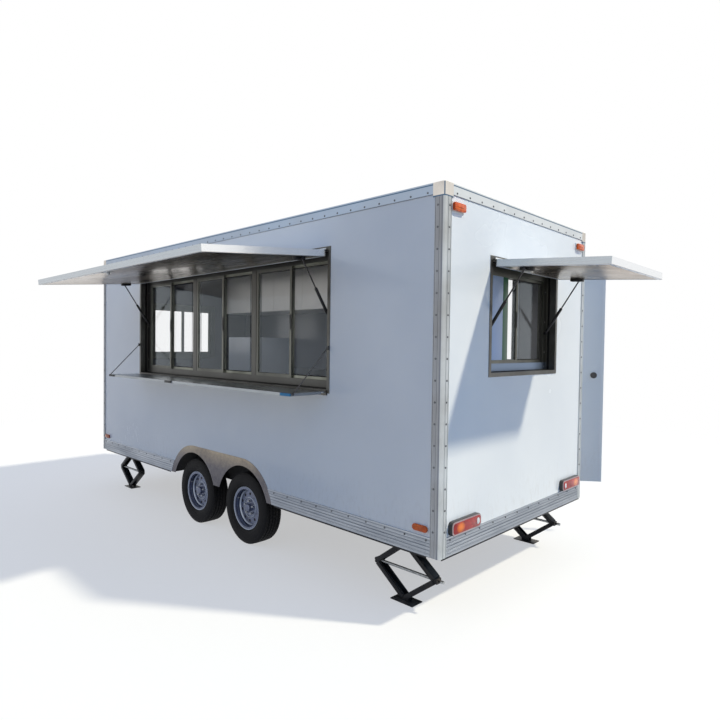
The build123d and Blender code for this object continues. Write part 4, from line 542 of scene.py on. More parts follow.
def rubber(name, dust_share, roughness=0.62):
    finish = Finish(name, RUBBER, roughness, specular_ior_level=0.18)
    dust = finish.between(finish.noise(16, detail=6.0, roughness=0.7), 0.42, 0.85) * dust_share
    finish.set("Base Color", finish.mix(dust, RUBBER, RUBBER_DUST))
    finish.set("Roughness", dust * 0.25 + roughness)
    finish.raise_by(finish.noise(420, detail=1.0), 0.0002, 0.5)
    return finish.material


def wheel_paint():
    finish = Finish("wheel_paint", SILVER, 0.3, 0.75, coat_weight=0.4, coat_roughness=0.12)
    flake = finish.axis("X", finish.cells(900, output="Color"))
    grime = finish.between(finish.noise(22, detail=6.0, roughness=0.7), 0.45, 0.8)
    finish.set("Base Color", finish.mix(grime * 0.55, finish.mix(flake * 0.5, SILVER, SILVER_DARK), ROAD_DUST))
    finish.set("Roughness", grime * 0.35 + 0.28)
    finish.raise_by(finish.noise(240, detail=1.0), 0.0002, 0.3)
    return finish.material


def checker_plate():
    """Outer plate: a mottle of painted glints, painted lighter and tanner towards its top and darker low down;
    underseal behind it.
    """
    finish = Finish("checker_plate", PLATE_GLINT_MOTTLE[1], 0.4, 1.0)
    mottle = finish.noise(26, detail=4.0, roughness=0.7)
    light = finish.between(mottle * 0.6 + finish.noise(2.6) * 0.6, 0.45, 0.8)
    high = finish.between(finish.axis("Z"), BASE + 0.16, BASE + 0.40)
    plate = finish.mix(light, finish.mix(high, *PLATE_SHADED_MOTTLE), finish.mix(high, *PLATE_GLINT_MOTTLE))
    outside = finish.between(finish.off("Y"), LEFT - 0.011, LEFT - 0.009)
    finish.set("Base Color", finish.mix(outside, UNDERSEAL, plate))
    finish.set("Metallic", outside)
    finish.set("Roughness", finish.between(mottle, 0.3, 0.8, 0.3, 0.5) + (1 - outside) * 0.35)
    finish.raise_by(mottle, 0.0008, 0.5)
    return finish.material


# %% [markdown]
# ## Lamps, floor and kitchen
#
# A lamp's lens is coloured plastic over a bright reflector, with ribs moulded on its inside; a deep colour
# under a smooth coat and a ribbed relief reads as that. The kitchen is brushed stainless steel, whose grain
# runs level, and the floor is a speckled vinyl.

# %% Lens, vinyl, stainless and enamel
DEEP_RED = (0.22, 0.004, 0.006)
LIGHT_RED = (0.46, 0.018, 0.018)
AMBER_GLOW = (0.88, 0.22, 0.03)
TAIL_LENGTH = 0.325
GLOW_AT = 0.27
PAD_BLUE_FROM = -4.48


def lens_finish(name, deep, light, rib_pitch, rib_height, glow=None):
    """Ribbed plastic lens; glow, if any, gives a mask for an amber light behind it."""
    finish = Finish(name, deep, 0.2, coat_weight=0.25, coat_roughness=0.06, specular_ior_level=0.25)
    tone = finish.mix(finish.between(finish.noise(30), 0.3, 0.75), deep, light)
    finish.set("Base Color", finish.mix(glow(finish), tone, AMBER_GLOW) if glow else tone)
    ribs = finish.math("PINGPONG", finish.axis("Z"), rib_pitch)
    finish.raise_by(ribs * (1 / rib_pitch), rib_height, 0.5)
    return finish.material


def tail_glow(finish):
    """An amber glow a quarter of the way in from the tail lamp's outer end."""
    low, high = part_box("tail_lamps")
    along = (high.y - finish.off("Y")) * (1 / TAIL_LENGTH) - GLOW_AT
    rise = (finish.axis("Z") - (low.z + high.z) / 2) * (1 / (high.z - low.z))
    return finish.between(along * along * 30.0 + rise * rise * 4.0, 0.65, 0.0)


def pads():
    """Rubber bumpers under the shelf: one is blue, the rest are black."""
    finish = Finish("shelf_pads", RUBBER, 0.55)
    blue = finish.between(finish.axis("X"), PAD_BLUE_FROM, PAD_BLUE_FROM - 0.04)
    worn = finish.noise(40, detail=4.0)
    finish.set("Base Color", finish.mix(blue, (0.03, 0.03, 0.032), (0.02, 0.20, 0.40)))
    finish.set("Roughness", finish.between(worn, 0.3, 0.8, 0.4, 0.7))
    finish.raise_by(worn, 0.0004, 0.4)
    return finish.material


def vinyl():
    finish = Finish("speckled_vinyl", (0.22, 0.23, 0.24), 0.55)
    specks = finish.between(finish.cells(160), 0.0, 0.3)
    finish.set("Base Color", finish.mix(specks, (0.42, 0.43, 0.44), (0.2, 0.21, 0.22)))
    finish.raise_by(finish.noise(90), 0.0003, 0.4)
    return finish.material


def stainless(name, tone):
    finish = Finish(name, tone, 0.3, 1.0)
    grain = finish.noise(1.0, (5, 5, 380), 3.0, 0.6)
    smear = finish.noise(4.5, detail=4.0)
    finish.set("Base Color", finish.mix(finish.between(smear, 0.3, 0.8), tone, tuple(c * 0.8 for c in tone)))
    finish.set("Roughness", finish.between(grain + smear * 0.5, 0.4, 1.0, 0.2, 0.42))
    finish.raise_by(grain, 0.0002, 0.3)
    return finish.material


def enamel(name, tone, roughness=0.28):
    finish = Finish(name, tone, roughness, coat_weight=0.2)
    cloud = finish.noise(3.0, detail=3.0)
    finish.set("Base Color", finish.mix(finish.between(cloud, 0.3, 0.8), tone, tuple(c * 0.88 for c in tone)))
    finish.raise_by(finish.noise(240, detail=1.0), 0.00015, 0.4)
    return finish.material


# %% [markdown]
# ## Giving the model its finishes
#
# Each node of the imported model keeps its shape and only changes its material. One table says which.

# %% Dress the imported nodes
PAINTS = {
    "gel": gel_coat(), "sill": sill(), "cap": cast_cap(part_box("corner_caps")[0].z),
    "post": drawn("extruded_post", ALONG_POST, post_painted_light), "top": drawn("top_rail", ALONG_RAIL, top_rail_painted_light),
    "serving": anodised("serving_frame", serving_tone, 0.32), "rear": anodised("rear_frame", rear_frame_painted_light, 0.3),
    "glass": window_glass(), "flap": flap_faces(), "under": mirror_sheet(),
    "chassis": black_paint("chassis_black", 0.7), "strut": black_paint("strut_black", 0.15, 0.3),
    "zinc": zinc(), "rod": bright_rod(), "wheel": wheel_paint(), "checker": checker_plate(),
    "tyre": rubber("tyre_rubber", 0.55), "seal": rubber("seal_rubber", 0.2, 0.5), "pad": pads(), "vinyl": vinyl(),
    "steel": stainless("brushed_stainless", (0.62, 0.63, 0.64)),
    "shelf": stainless("shelf_stainless", (0.34, 0.37, 0.40)),
    "tail": lens_finish("tail_lens", DEEP_RED, LIGHT_RED, 0.004, 0.0012, tail_glow),
    "amber": lens_finish("amber_lens", (0.52, 0.055, 0.004), (0.82, 0.14, 0.008), 0.006, 0.0015),
    "clear": lens_finish("clear_lens", (0.55, 0.56, 0.58), (0.86, 0.87, 0.88), 0.006, 0.0015),
}
# Plain metals: name, stretch of the grain, bright tone, dull tone, roughness
METALS = {
    "rail": ("extruded_rail", ALONG_RAIL, (0.56, 0.61, 0.68), (0.36, 0.40, 0.46)),
    "rivet": ("rivet_metal", (90, 90, 90), (0.14, 0.15, 0.17), (0.07, 0.075, 0.085), (0.35, 0.55)),
    "frame": ("anodised_frame", (40, 40, 40), FRAME_TONE, FRAME_DARK, (0.32, 0.5)),
    "lining": ("lining_metal", (60, 60, 60), (0.13, 0.13, 0.125), (0.07, 0.07, 0.065), (0.3, 0.5)),
    "lip": ("rim_lip", (60, 60, 60), (0.30, 0.34, 0.42), (0.17, 0.20, 0.26), (0.25, 0.45)),
    "chrome": ("lamp_chrome", (90, 90, 90), (0.46, 0.36, 0.38), (0.24, 0.18, 0.20)),
    "dark": ("dark_steel", (90, 90, 90), (0.12, 0.12, 0.13), (0.07, 0.07, 0.075)),
}
# Plain paints and plastics: name, tone, roughness
ENAMELS = {
    "sealant": ("grey_sealant", (0.36, 0.38, 0.42), 0.5), "enamel": ("appliance_enamel", (0.58, 0.62, 0.68)),
    "board": ("white_board", (0.74, 0.73, 0.71)), "plastic": ("black_plastic", (0.025, 0.025, 0.028), 0.4),
    "green": ("green_film", (0.006, 0.13, 0.055), 0.3), "pale": ("pale_film", (0.42, 0.56, 0.82), 0.3),
}
PAINTS.update({key: extrusion(*row) for key, row in METALS.items()})
PAINTS.update({key: enamel(*row) for key, row in ENAMELS.items()})
WHEEL_NAMES = [f"wheel_{corner}" for corner, _ in CORNERS]
TYRE_NAMES = [f"tyre_{corner}" for corner, _ in CORNERS]
DRESSING = {
    "gel": ["left_wall", "right_wall", "front_wall", "rear_wall", "roof_panel", "door_leaf"],
    "post": ["corner_posts"], "cap": ["corner_caps"], "top": ["top_rails"], "sill": ["bottom_rails"],
    "rail": ["door_frame"], "serving": ["serving_frame"], "lining": ["window_linings"],
    "rear": ["rear_window_frame"], "frame": ["front_window_frame"], "glass": ["window_glass"],
    "flap": ["side_flap", "rear_flap"], "rod": ["side_strut_rods", "rear_strut_rods"],
    "strut": ["side_flap_brackets", "rear_flap_brackets", "side_strut_tubes", "rear_strut_tubes", "strut_mounts"],
    "chassis": ["chassis_rails", "chassis_crossmembers", "chassis_outriggers"]
               + [f"jack_{corner}" for corner, _ in CORNERS],
    "zinc": ["drawbar", "coupler", "jockey_stand", "jockey_fork", "front_axle", "rear_axle"],
    "checker": ["wheel_box_left", "wheel_box_right"], "vinyl": ["floor_panel"], "shelf": ["counter_shelf"],
    "dark": ["shelf_stays"], "pad": ["shelf_pads"], "plastic": ["door_lock", "tail_lamps"],
    "steel": ["left_counter", "right_counter"], "board": ["overhead_cupboards"], "enamel": ["fridge"],
    "amber": ["marker_lamps"], "wheel": WHEEL_NAMES, "tyre": ["jockey_wheel"] + TYRE_NAMES,
}
for paint, nodes in DRESSING.items():
    for node in nodes:
        frame["nodes"][node].data.materials.clear()
        frame["nodes"][node].data.materials.append(PAINTS[paint])
undressed = set(frame["nodes"]) - {node for nodes in DRESSING.values() for node in nodes}
print("nodes without a finish:", sorted(undressed))

# %% [markdown]
# ## Making pieces
#
# Small parts are gathered in one mesh: boxes, bars and turned forms. A narrow bevel then breaks every sharp
# edge, because real edges catch the light, and the result is stored as a plain mesh with its place in it.

# %% Mesh helpers
BOTH = (-1, 1)


def link_mesh(name, mesh):
    piece = bpy.data.objects.new(name, mesh)
    bpy.context.scene.collection.objects.link(piece)
    return piece


def frozen(piece):
    """The piece with its modifiers applied, as a plain mesh."""
    graph = bpy.context.evaluated_depsgraph_get()
    mesh = bpy.data.meshes.new_from_object(piece.evaluated_get(graph))
    piece.modifiers.clear()
    piece.data = mesh
    return piece


def stand(centre, axis):
    """Matrix that takes the Z axis to another axis through a centre."""
    return Matrix.Translation(centre) @ Vector(axis).to_track_quat("Z", "Y").to_matrix().to_4x4()


class Pile:
    """Simple forms gathered in one mesh."""

    def __init__(self):
        self.mesh = bmesh.new()

    def box(self, low, high):
        """A box between two corners, in any order."""
        middle = (Vector(low) + Vector(high)) / 2
        size = [abs(a - b) for a, b in zip(low, high)]
        bmesh.ops.create_cube(self.mesh, size=1, matrix=Matrix.Translation(middle) @ Matrix.Diagonal((*size, 1)))
        return self

    def bar(self, start, end, radius, sides=20):
        """A round bar."""
        run = Vector(end) - Vector(start)
        bmesh.ops.create_cone(self.mesh, cap_ends=True, segments=sides, radius1=radius, radius2=radius,
                              depth=run.length, matrix=stand((Vector(start) + Vector(end)) / 2, run))
        return self

    def turned(self, outline, centre, axis, steps=48):
        """A form turned about an axis; the outline holds pairs of distance along it and radius."""
        place = stand(centre, axis)
        rings = []
        for along, radius in outline:
            points = [place @ Vector((radius * math.cos(a), radius * math.sin(a), along))
                      for a in (2 * math.pi * k / steps for k in range(steps))]
            rings.append([self.mesh.verts.new(p) for p in points])
        for first, second in zip(rings, rings[1:]):
            for k in range(steps):
                after = (k + 1) % steps
                self.mesh.faces.new((first[k], first[after], second[after], second[k]))
        return self

    def prism(self, outline, low, high):
        """A straight block: an outline of x and y, between two heights."""
        floor, top = ([self.mesh.verts.new((x, y, z)) for x, y in outline] for z in (low, high))
        self.mesh.faces.new(top)
        self.mesh.faces.new(floor[::-1])
        for k in range(len(outline)):
            after = (k + 1) % len(outline)
            self.mesh.faces.new((floor[k], floor[after], top[after], top[k]))
        return self

    def frame(self, low, high, width, flat):
        """Four boxes round an opening in the plane that leaves out the axis called flat."""
        across, up = (axis for axis in range(3) if axis != flat)
        for axis, other in ((across, up), (up, across)):
            for end in (low, high):
                near, far = list(low), list(high)
                near[axis] = low[axis] if end is low else high[axis] - width
                far[axis] = low[axis] + width if end is low else high[axis]
                if axis == up:
                    near[other] += width
                    far[other] -= width
                self.box(near, far)
        return self

    def lay(self, rows, sunk, proud, low, high):
        """A strip along each row between two heights: sunk into its wall, and proud of it."""
        for start, end, out in rows:
            first, last = Vector(start) - Vector(out) * sunk, Vector(end) + Vector(out) * proud
            self.box((first.x, first.y, low), (last.x, last.y, high))
        return self

    def add(self, mesh):
        """Take in another mesh."""
        self.mesh.from_mesh(mesh)
        return self

    def passed(self, name):
        """What has been gathered, as a mesh; the pile is then empty."""
        mesh = bpy.data.meshes.new(name)
        self.mesh.to_mesh(mesh)
        self.mesh.free()
        return mesh

    def take(self, pile):
        """Take in what another pile has gathered."""
        return self.add(pile.passed("passed"))

    def move(self, place):
        """Turn or shift all that is gathered so far."""
        bmesh.ops.transform(self.mesh, matrix=place, verts=self.mesh.verts)
        return self

    def piece(self, name, body, paint, slot, bevel=0.001, smooth=30):
        """Finish the pile: welded, faces outwards, edges broken, riding on its body."""
        bmesh.ops.remove_doubles(self.mesh, verts=self.mesh.verts, dist=1e-6)
        bmesh.ops.recalc_face_normals(self.mesh, faces=self.mesh.faces)
        made = link_mesh(name, self.passed(name))
        if bevel:
            edge = made.modifiers.new("broken_edge", "BEVEL")
            edge.width = bevel
            edge.segments = 2
            edge.limit_method = "ANGLE"
            frozen(made)
        return ready(made, body, paint, smooth)


def ready(made, body, paint, smooth=30):
    """Material, smooth shading up to an angle, and body."""
    made.data.materials.clear()
    made.data.materials.append(PAINTS[paint])
    made.data.shade_smooth()
    made.data.set_sharp_from_angle(angle=math.radians(smooth))
    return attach(made, body)


# %% [markdown]
# ## Geometry Nodes trees for what repeats
#
# Hundreds of rivets hold the posts and rails. Each row is one edge of a small mesh, and the first tree
# walks along it: Resample Curve sets points a pitch apart, and a flattened sphere stands on each, turned to
# the stored outward direction. The second tree repeats a shape about a wheel's axle, and the third stands a
# flattened sphere on each point of a mesh. The instances are realized, since an export drops them.

# %% Build the three trees
class Tree:
    """A Geometry Nodes tree with named inputs."""

    def __init__(self, name, **sockets):
        self.group = bpy.data.node_groups.new(name, "GeometryNodeTree")
        self.group.interface.new_socket("Geometry", in_out="INPUT", socket_type="NodeSocketGeometry")
        for label, (kind, value) in sockets.items():
            made = self.group.interface.new_socket(label, in_out="INPUT", socket_type="NodeSocket" + kind)
            if value is not None:
                made.default_value = value
        self.group.interface.new_socket("Geometry", in_out="OUTPUT", socket_type="NodeSocketGeometry")
        self.inputs = self.group.nodes.new("NodeGroupInput").outputs

    def node(self, kind, settings=None, inputs=None):
        """Any node: its settings, then its sockets by name or place; gives its first output."""
        made = self.group.nodes.new(kind)
        for label, value in (settings or {}).items():
            setattr(made, label, value)
        usable = [socket for socket in made.inputs if socket.enabled]
        for key, value in (inputs or {}).items():
            socket = usable[key] if isinstance(key, int) else next(s for s in usable if s.name == key)
            if isinstance(value, bpy.types.NodeSocket):
                self.group.links.new(value, socket)
            else:
                socket.default_value = value
        return next(socket for socket in made.outputs if socket.enabled)

    def close(self, points, shape, turn):
        """Stand the shape on the points, realize the instances, set the material and end the tree."""
        placed = self.node("GeometryNodeInstanceOnPoints", None,
                           {"Points": points, "Instance": shape, "Rotation": turn})
        real = self.node("GeometryNodeRealizeInstances", None, {"Geometry": placed})
        dressed = self.node("GeometryNodeSetMaterial", None, {"Geometry": real, "Material": self.inputs["Material"]})
        self.group.links.new(dressed, self.group.nodes.new("NodeGroupOutput").inputs[0])
        return self.group


def rivet_tree():
    tree = Tree("rivet_rows", Pitch=("Float", 0.1), Radius=("Float", 0.004), Height=("Float", 0.5),
                Material=("Material", None))
    rows = tree.node("GeometryNodeMeshToCurve", None, {"Mesh": tree.inputs["Geometry"]})
    spaced = tree.node("GeometryNodeResampleCurve", {"mode": "LENGTH"},
                       {"Curve": rows, "Length": tree.inputs["Pitch"]})
    outward = tree.node("GeometryNodeInputNamedAttribute", {"data_type": "FLOAT_VECTOR"}, {"Name": "outward"})
    turn = tree.node("FunctionNodeAlignRotationToVector", {"axis": "Z"}, {"Vector": outward})
    head = tree.node("GeometryNodeMeshUVSphere", None, {"Segments": 10, "Rings": 6, "Radius": tree.inputs["Radius"]})
    flat = tree.node("ShaderNodeCombineXYZ", None, {"X": 1.0, "Y": 1.0, "Z": tree.inputs["Height"]})
    low = tree.node("GeometryNodeTransform", None, {"Geometry": head, "Scale": flat})
    return tree.close(spaced, low, turn)


def ring_tree():
    tree = Tree("repeat_about_axle", Count=("Int", 5), Centre=("Vector", None), Material=("Material", None))
    spots = tree.node("GeometryNodePoints", None, {"Count": tree.inputs["Count"], "Position": tree.inputs["Centre"]})
    step = tree.node("ShaderNodeMath", {"operation": "DIVIDE"}, {0: math.tau, 1: tree.inputs["Count"]})
    angle = tree.node("ShaderNodeMath", {"operation": "MULTIPLY"}, {0: tree.node("GeometryNodeInputIndex"), 1: step})
    turn = tree.node("FunctionNodeEulerToRotation", None, {0: tree.node("ShaderNodeCombineXYZ", None, {"Y": angle})})
    return tree.close(spots, tree.inputs["Geometry"], turn)


def stud_tree():
    tree = Tree("studs_on_points", Size=("Vector", None), Turn=("Vector", None), Material=("Material", None))
    spots = tree.node("GeometryNodeMeshToPoints", None, {"Mesh": tree.inputs["Geometry"]})
    ball = tree.node("GeometryNodeMeshUVSphere", None, {"Segments": 8, "Rings": 4, "Radius": 1.0})
    flat = tree.node("GeometryNodeTransform", None, {"Geometry": ball, "Scale": tree.inputs["Size"]})
    return tree.close(spots, flat, tree.node("FunctionNodeEulerToRotation", None, {0: tree.inputs["Turn"]}))


def run_tree(group, piece, paint, **values):
    """Add the tree to the piece, set its inputs by identifier, and keep the result as a plain mesh."""
    modifier = piece.modifiers.new(group.name, "NODES")
    modifier.node_group = group
    labels = {item.name: item.identifier for item in group.interface.items_tree if item.in_out == "INPUT"}
    for label, value in {**values, "Material": PAINTS[paint]}.items():
        modifier[labels[label]] = value
    return frozen(piece)


def grown(group, mesh, paint, **values):
    """The mesh that a tree makes from another mesh."""
    made = run_tree(group, link_mesh("element", mesh), paint, **values)
    data = made.data
    bpy.data.objects.remove(made)
    return data


RIVETS, REPEAT, STUDS = rivet_tree(), ring_tree(), stud_tree()


def rivets(name, rows, pitch, radius, paint="rivet"):
    """Rows of heads; each row holds its start, its end and the outward direction."""
    mesh = bpy.data.meshes.new(name)
    points = [point for start, end, _ in rows for point in (start, end)]
    mesh.from_pydata(points, [(2 * k, 2 * k + 1) for k in range(len(rows))], [])
    outward = mesh.attributes.new("outward", "FLOAT_VECTOR", "POINT")
    for k, (_, _, direction) in enumerate(rows):
        outward.data[2 * k].vector = outward.data[2 * k + 1].vector = direction
    piece = run_tree(RIVETS, link_mesh(name, mesh), paint, Pitch=pitch, Radius=radius)
    print(name, len(piece.data.polygons), "faces")
    ready(piece, "trailer", paint)


# %% [markdown]
# ## Rivets along posts and rails
#
# In the photograph the posts have one row down each flange, about 130 mm apart, and the top rails have one
# row along their lower edge. The bottom rail has a row of its own, which stops at the wheel boxes and
# under the door. Thin strips cover the roof's joints, with smaller heads set closer. The rows stand on
# the outer faces, so nothing hangs clear of the metal.

# %% Rows on posts, rails and roof
PITCH = 0.13
SILL_PITCH = 0.16
ROOF_PITCH = 0.09
ROW_SHARE = 0.7
RIVET_RADIUS = 0.0072
SMALL_RIVET = 0.0032
POST_ROW_FOOT = 0.16
POST_ROW_HEAD = 0.05
ROW_GAP = 0.03
CAP_GAP = 0.04
TOP_ROW_DROP = 0.056
SILL_ROW = 0.098
STRIP_WIDTH = 0.05
STRIP_SHORT = 0.05
STRIP_ROW_SHORT = 0.12
roof_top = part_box("roof_panel")[1].z
STRIP_TOP = roof_top + 0.0015
ROOF_JOINTS = [REAR + (FRONT - REAR) * share for share in (0.25, 0.5, 0.75)]
serving_low, serving_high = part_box("serving_frame")
rear_low, rear_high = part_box("rear_window_frame")
front_low, front_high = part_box("front_window_frame")
door_low, door_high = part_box("door_frame")
hood_low, hood_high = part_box("wheel_box_left")


def post_rows():
    """One row down each flange of the four posts."""
    away = POST_WIDTH * ROW_SHARE
    low, high = BASE + POST_ROW_FOOT, ROOF - CAP_WIDTH - POST_ROW_HEAD
    rows = []
    for x, inward in ((REAR, 1), (FRONT, -1)):
        for y, side in ((LEFT, 1), (-LEFT, -1)):
            face_x, face_y = x + inward * away, y - side * away
            rows.append(((face_x, y, low), (face_x, y, high), (0, side, 0)))
            rows.append(((x, face_y, low), (x, face_y, high), (-inward, 0, 0)))
    return rows


def side_rows(height, inset, proud=0.0):
    """A row along each side, which stops short of the corners."""
    return [((REAR + inset, y, height), (FRONT - inset, y, height), (0, side, 0))
            for side, y in ((-1, -LEFT - proud), (1, LEFT + proud))]


def end_rows(height, inset, proud=0.0):
    """A row across each end, which stops short of the corners."""
    reach = LEFT - inset
    return [((x + way * proud, -reach, height), (x + way * proud, reach, height), (way, 0, 0))
            for x, way in ((REAR, -1), (FRONT, 1))]


def sill_rows(height):
    """Rows along both sides of the bottom rail, stopped at the wheel boxes and under the door."""
    arch = [hood_low.x - ROW_GAP, hood_high.x + ROW_GAP]
    doorway = [door_low.x - ROW_GAP, door_high.x + ROW_GAP]
    rows = []
    for side, breaks in ((1, arch), (-1, doorway + arch)):
        stops = [REAR + POST_WIDTH + ROW_GAP, *breaks, FRONT - POST_WIDTH - ROW_GAP]
        rows += [((start, side * LEFT, height), (end, side * LEFT, height), (0, side, 0))
                 for start, end in zip(stops[::2], stops[1::2])]
    return rows


def roof_rows():
    """Rows down both edges of the strips that cover the roof's joints."""
    reach = LEFT - STRIP_ROW_SHORT
    lines = [x + edge * STRIP_WIDTH * 0.35 for x in ROOF_JOINTS for edge in BOTH]
    return [((x, -reach, STRIP_TOP), (x, reach, STRIP_TOP), (0, 0, 1)) for x in lines]


rivets("post_rivets", post_rows(), PITCH, RIVET_RADIUS)
top_row = ROOF - TOP_ROW_DROP
rivets("top_rail_rivets", side_rows(top_row, CAP_WIDTH + CAP_GAP) + end_rows(top_row, CAP_WIDTH + CAP_GAP),
       PITCH, RIVET_RADIUS)
strips = Pile()
for x in ROOF_JOINTS:
    strips.box((x - STRIP_WIDTH / 2, -LEFT + STRIP_SHORT, roof_top - 0.001),
               (x + STRIP_WIDTH / 2, LEFT - STRIP_SHORT, STRIP_TOP))
strips.piece("roof_joint_strips", "trailer", "rail", "aluminium", bevel=0.0005)
low_row = BASE + SILL_ROW
rivets("bottom_rail_rivets", sill_rows(low_row) + end_rows(low_row, POST_WIDTH + CAP_GAP), SILL_PITCH, RIVET_RADIUS)
rivets("roof_rivets", roof_rows(), ROOF_PITCH, SMALL_RIVET, "rail")

# %% [markdown]
# ## Ribs, sealant and angles on the rails
#
# A trailer's bottom rail is extruded with shallow ribs, which in the photograph read as fine lines along
# the sill. They stand a millimetre off the rail. Where panels meet the rails a bead of grey sealant shows;
# it is a thin strip with its own dull finish. Below the sill the edge of a black angle shows.

# %% Ribs along the bottom rail, sealant under the top rail, angles under the sill
RIB_HEIGHTS = (0.022, 0.034, 0.060, 0.072)
RIB_PROUD = 0.0012
RIB_WIDTH = 0.005
ANGLE_DEEP = 0.012
ANGLE_INSET = 0.004
ANGLE_GAUGE = 0.005
ANGLE_LAP = 0.002
ANGLE_END = 0.03
SEAL_WIDTH = 0.004
SEAL_RISE = 0.002
RIB_END = 0.01
SUNK = 0.001
ribs = Pile()
for height in RIB_HEIGHTS:
    rows = sill_rows(height) + end_rows(height, POST_WIDTH + RIB_END)
    ribs.lay(rows, SUNK, RIB_PROUD, BASE + height, BASE + height + RIB_WIDTH)
ribs.piece("bottom_rail_ribs", "trailer", "sill", "aluminium", bevel=0.0004)
under = rails_low.z
rows = side_rows(under, POST_WIDTH, -RAIL_PROUD) + end_rows(under, POST_WIDTH, -RAIL_PROUD)
Pile().lay(rows, SUNK, SEAL_RISE, under - SEAL_WIDTH, under).piece("rail_sealant", "trailer", "sealant", "rubber",
                                                              bevel=0.0008)
rows = sill_rows(BASE) + end_rows(BASE, ANGLE_END)
Pile().lay(rows, ANGLE_INSET + ANGLE_GAUGE, -ANGLE_INSET, BASE - ANGLE_DEEP, BASE + ANGLE_LAP).piece(
    "sill_angles", "trailer", "chassis", "chassis_black", bevel=0.001)

# %% [markdown]
# ## Tyres
#
# A radial trailer tyre has a rounded sidewall with fine rings, and a tread of blocks between straight
# grooves. The carcass is one turned outline. The tread is one set of blocks, which the second tree
# repeats about the axle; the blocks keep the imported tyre's radius and width.

# %% Turn the carcass and set the tread on it
LUG_COUNT = 64
LUG_DEPTH = 0.0065
LUG_SHARE = 0.43
SHOULDER = 0.05
SHOULDER_DROP = 0.002
# Each row of blocks: from, to, slant along the tread, shift as a share of the pitch
TREAD_ROWS = ((-0.073, -0.049, -0.006, 0.0), (-0.042, -0.018, 0.006, 0.5), (-0.011, 0.011, 0.0, 0.2),
              (0.018, 0.042, -0.006, 0.5), (0.049, 0.073, 0.006, 0.0))
# Sidewall from the bead outwards: distance from the middle plane, share of the height over the flange
SIDEWALL = ((0.0655, -0.14), (0.0655, 0.0), (0.0735, 0.04), (0.0755, 0.05), (0.0735, 0.06), (0.0810, 0.16),
            (0.0845, 0.27), (0.0858, 0.28), (0.0852, 0.31), (0.0872, 0.40), (0.0883, 0.47), (0.0874, 0.50),
            (0.0880, 0.56), (0.0870, 0.64), (0.0840, 0.74), (0.0852, 0.76), (0.0842, 0.79), (0.0800, 0.87),
            (0.0750, 0.925), (0.0700, 0.942))
TYRE_STEPS = 112
RIM_FLANGE = 0.182


def around(pile, count, centre, paint):
    """The pile's shape repeated about a level axle; the pile is made about the origin."""
    bmesh.ops.recalc_face_normals(pile.mesh, faces=pile.mesh.faces)
    return grown(REPEAT, pile.passed("element"), paint, Count=count, Centre=list(centre))


def middle_of(node):
    low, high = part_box(node)
    return (low + high) / 2


def tyre_form(node, out):
    low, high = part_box(node)
    centre = middle_of(node)
    radius = (high.z - low.z) / 2
    flange = RIM_FLANGE + 0.0005
    outline = [(out * y, flange + (radius - flange) * share) for y, share in SIDEWALL]
    outline += [(-y, r) for y, r in reversed(outline)]
    form = Pile().turned(outline, centre, (0, 1, 0), TYRE_STEPS)
    lugs = Pile()
    half = math.tau * radius / LUG_COUNT * LUG_SHARE
    for y0, y1, slant, shift in TREAD_ROWS:
        corners = [(-half - slant, y0), (half - slant, y0), (half + slant, y1), (-half + slant, y1)]
        drop = SHOULDER_DROP if abs(y0 + y1) / 2 > SHOULDER else 0.0
        top = math.sqrt(radius ** 2 - (half + abs(slant)) ** 2) - drop
        row = Pile().prism(corners, radius - LUG_DEPTH - 0.004, top)
        lugs.take(row.move(Matrix.Rotation(shift * math.tau / LUG_COUNT, 4, "Y")))
    return form.add(around(lugs, LUG_COUNT, centre, "tyre"))


for corner, out in CORNERS:
    piece = tyre_form(f"tyre_{corner}", out).piece(f"tread_{corner}", f"wheel_{corner}", "tyre", "tyre", bevel=0)
    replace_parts(piece, f"tyre_{corner}")
    print(piece.name, len(piece.data.polygons), "faces")

# %% [markdown]
# ## Wheels
#
# The imported wheel has its rim, disc, vents, nuts and cap. What catches the eye is added: the rolled lip,
# two pressed rings, studs that stand out of the nuts, a tall hub cap, the valve, and a black ring on the drum's
# face behind the vents, painted shade for the dark seen through them.

# %% Lip, rings, studs, cap and drum
DISC_FACE = 0.030
LIP = ((0.0640, 0.1700), (0.0690, 0.1745), (0.0718, 0.1800), (0.0722, 0.1835), (0.0705, 0.1858), (0.0675, 0.1862),
       (0.0660, 0.1835), (0.0640, 0.1700))
# The rest is given from the disc's face: distance along the axle and radius
PRESSED_RINGS = (((-0.001, 0.078), (0.004, 0.0805), (0.005, 0.085), (0.003, 0.090), (-0.002, 0.093)),
                 ((-0.004, 0.138), (0.002, 0.141), (0.006, 0.147), (0.004, 0.154), (-0.006, 0.160)))
CAP = ((-0.002, 0.0345), (0.004, 0.0345), (0.005, 0.0338), (0.029, 0.0334), (0.0335, 0.0300), (0.0350, 0.0220),
       (0.0356, 0.0100), (0.0357, 0.0005))
DRUM_SHADE_RING = ((-0.0046, 0.098), (-0.0042, 0.0985), (-0.0042, 0.1335), (-0.0046, 0.134))
STUD_SEAT = ((0.0, 0.0135), (0.002, 0.0135), (0.0022, 0.010))
STUD_TIP = ((0.0155, 0.0092), (0.0175, 0.0075), (0.0176, 0.0058), (0.0220, 0.0056), (0.0230, 0.0045),
            (0.0231, 0.0002))
NUT_AT = (0, 0, 0.056)
NUT_COUNT = 5
VALVE_AT = (0.135, 0.062)
VALVE_SEAT = 0.004
VALVE_LENGTH = 0.026
VALVE_RADIUS = 0.0042


def on_disc(outline):
    """An outline moved out to the disc's face."""
    return [(DISC_FACE + along, radius) for along, radius in outline]


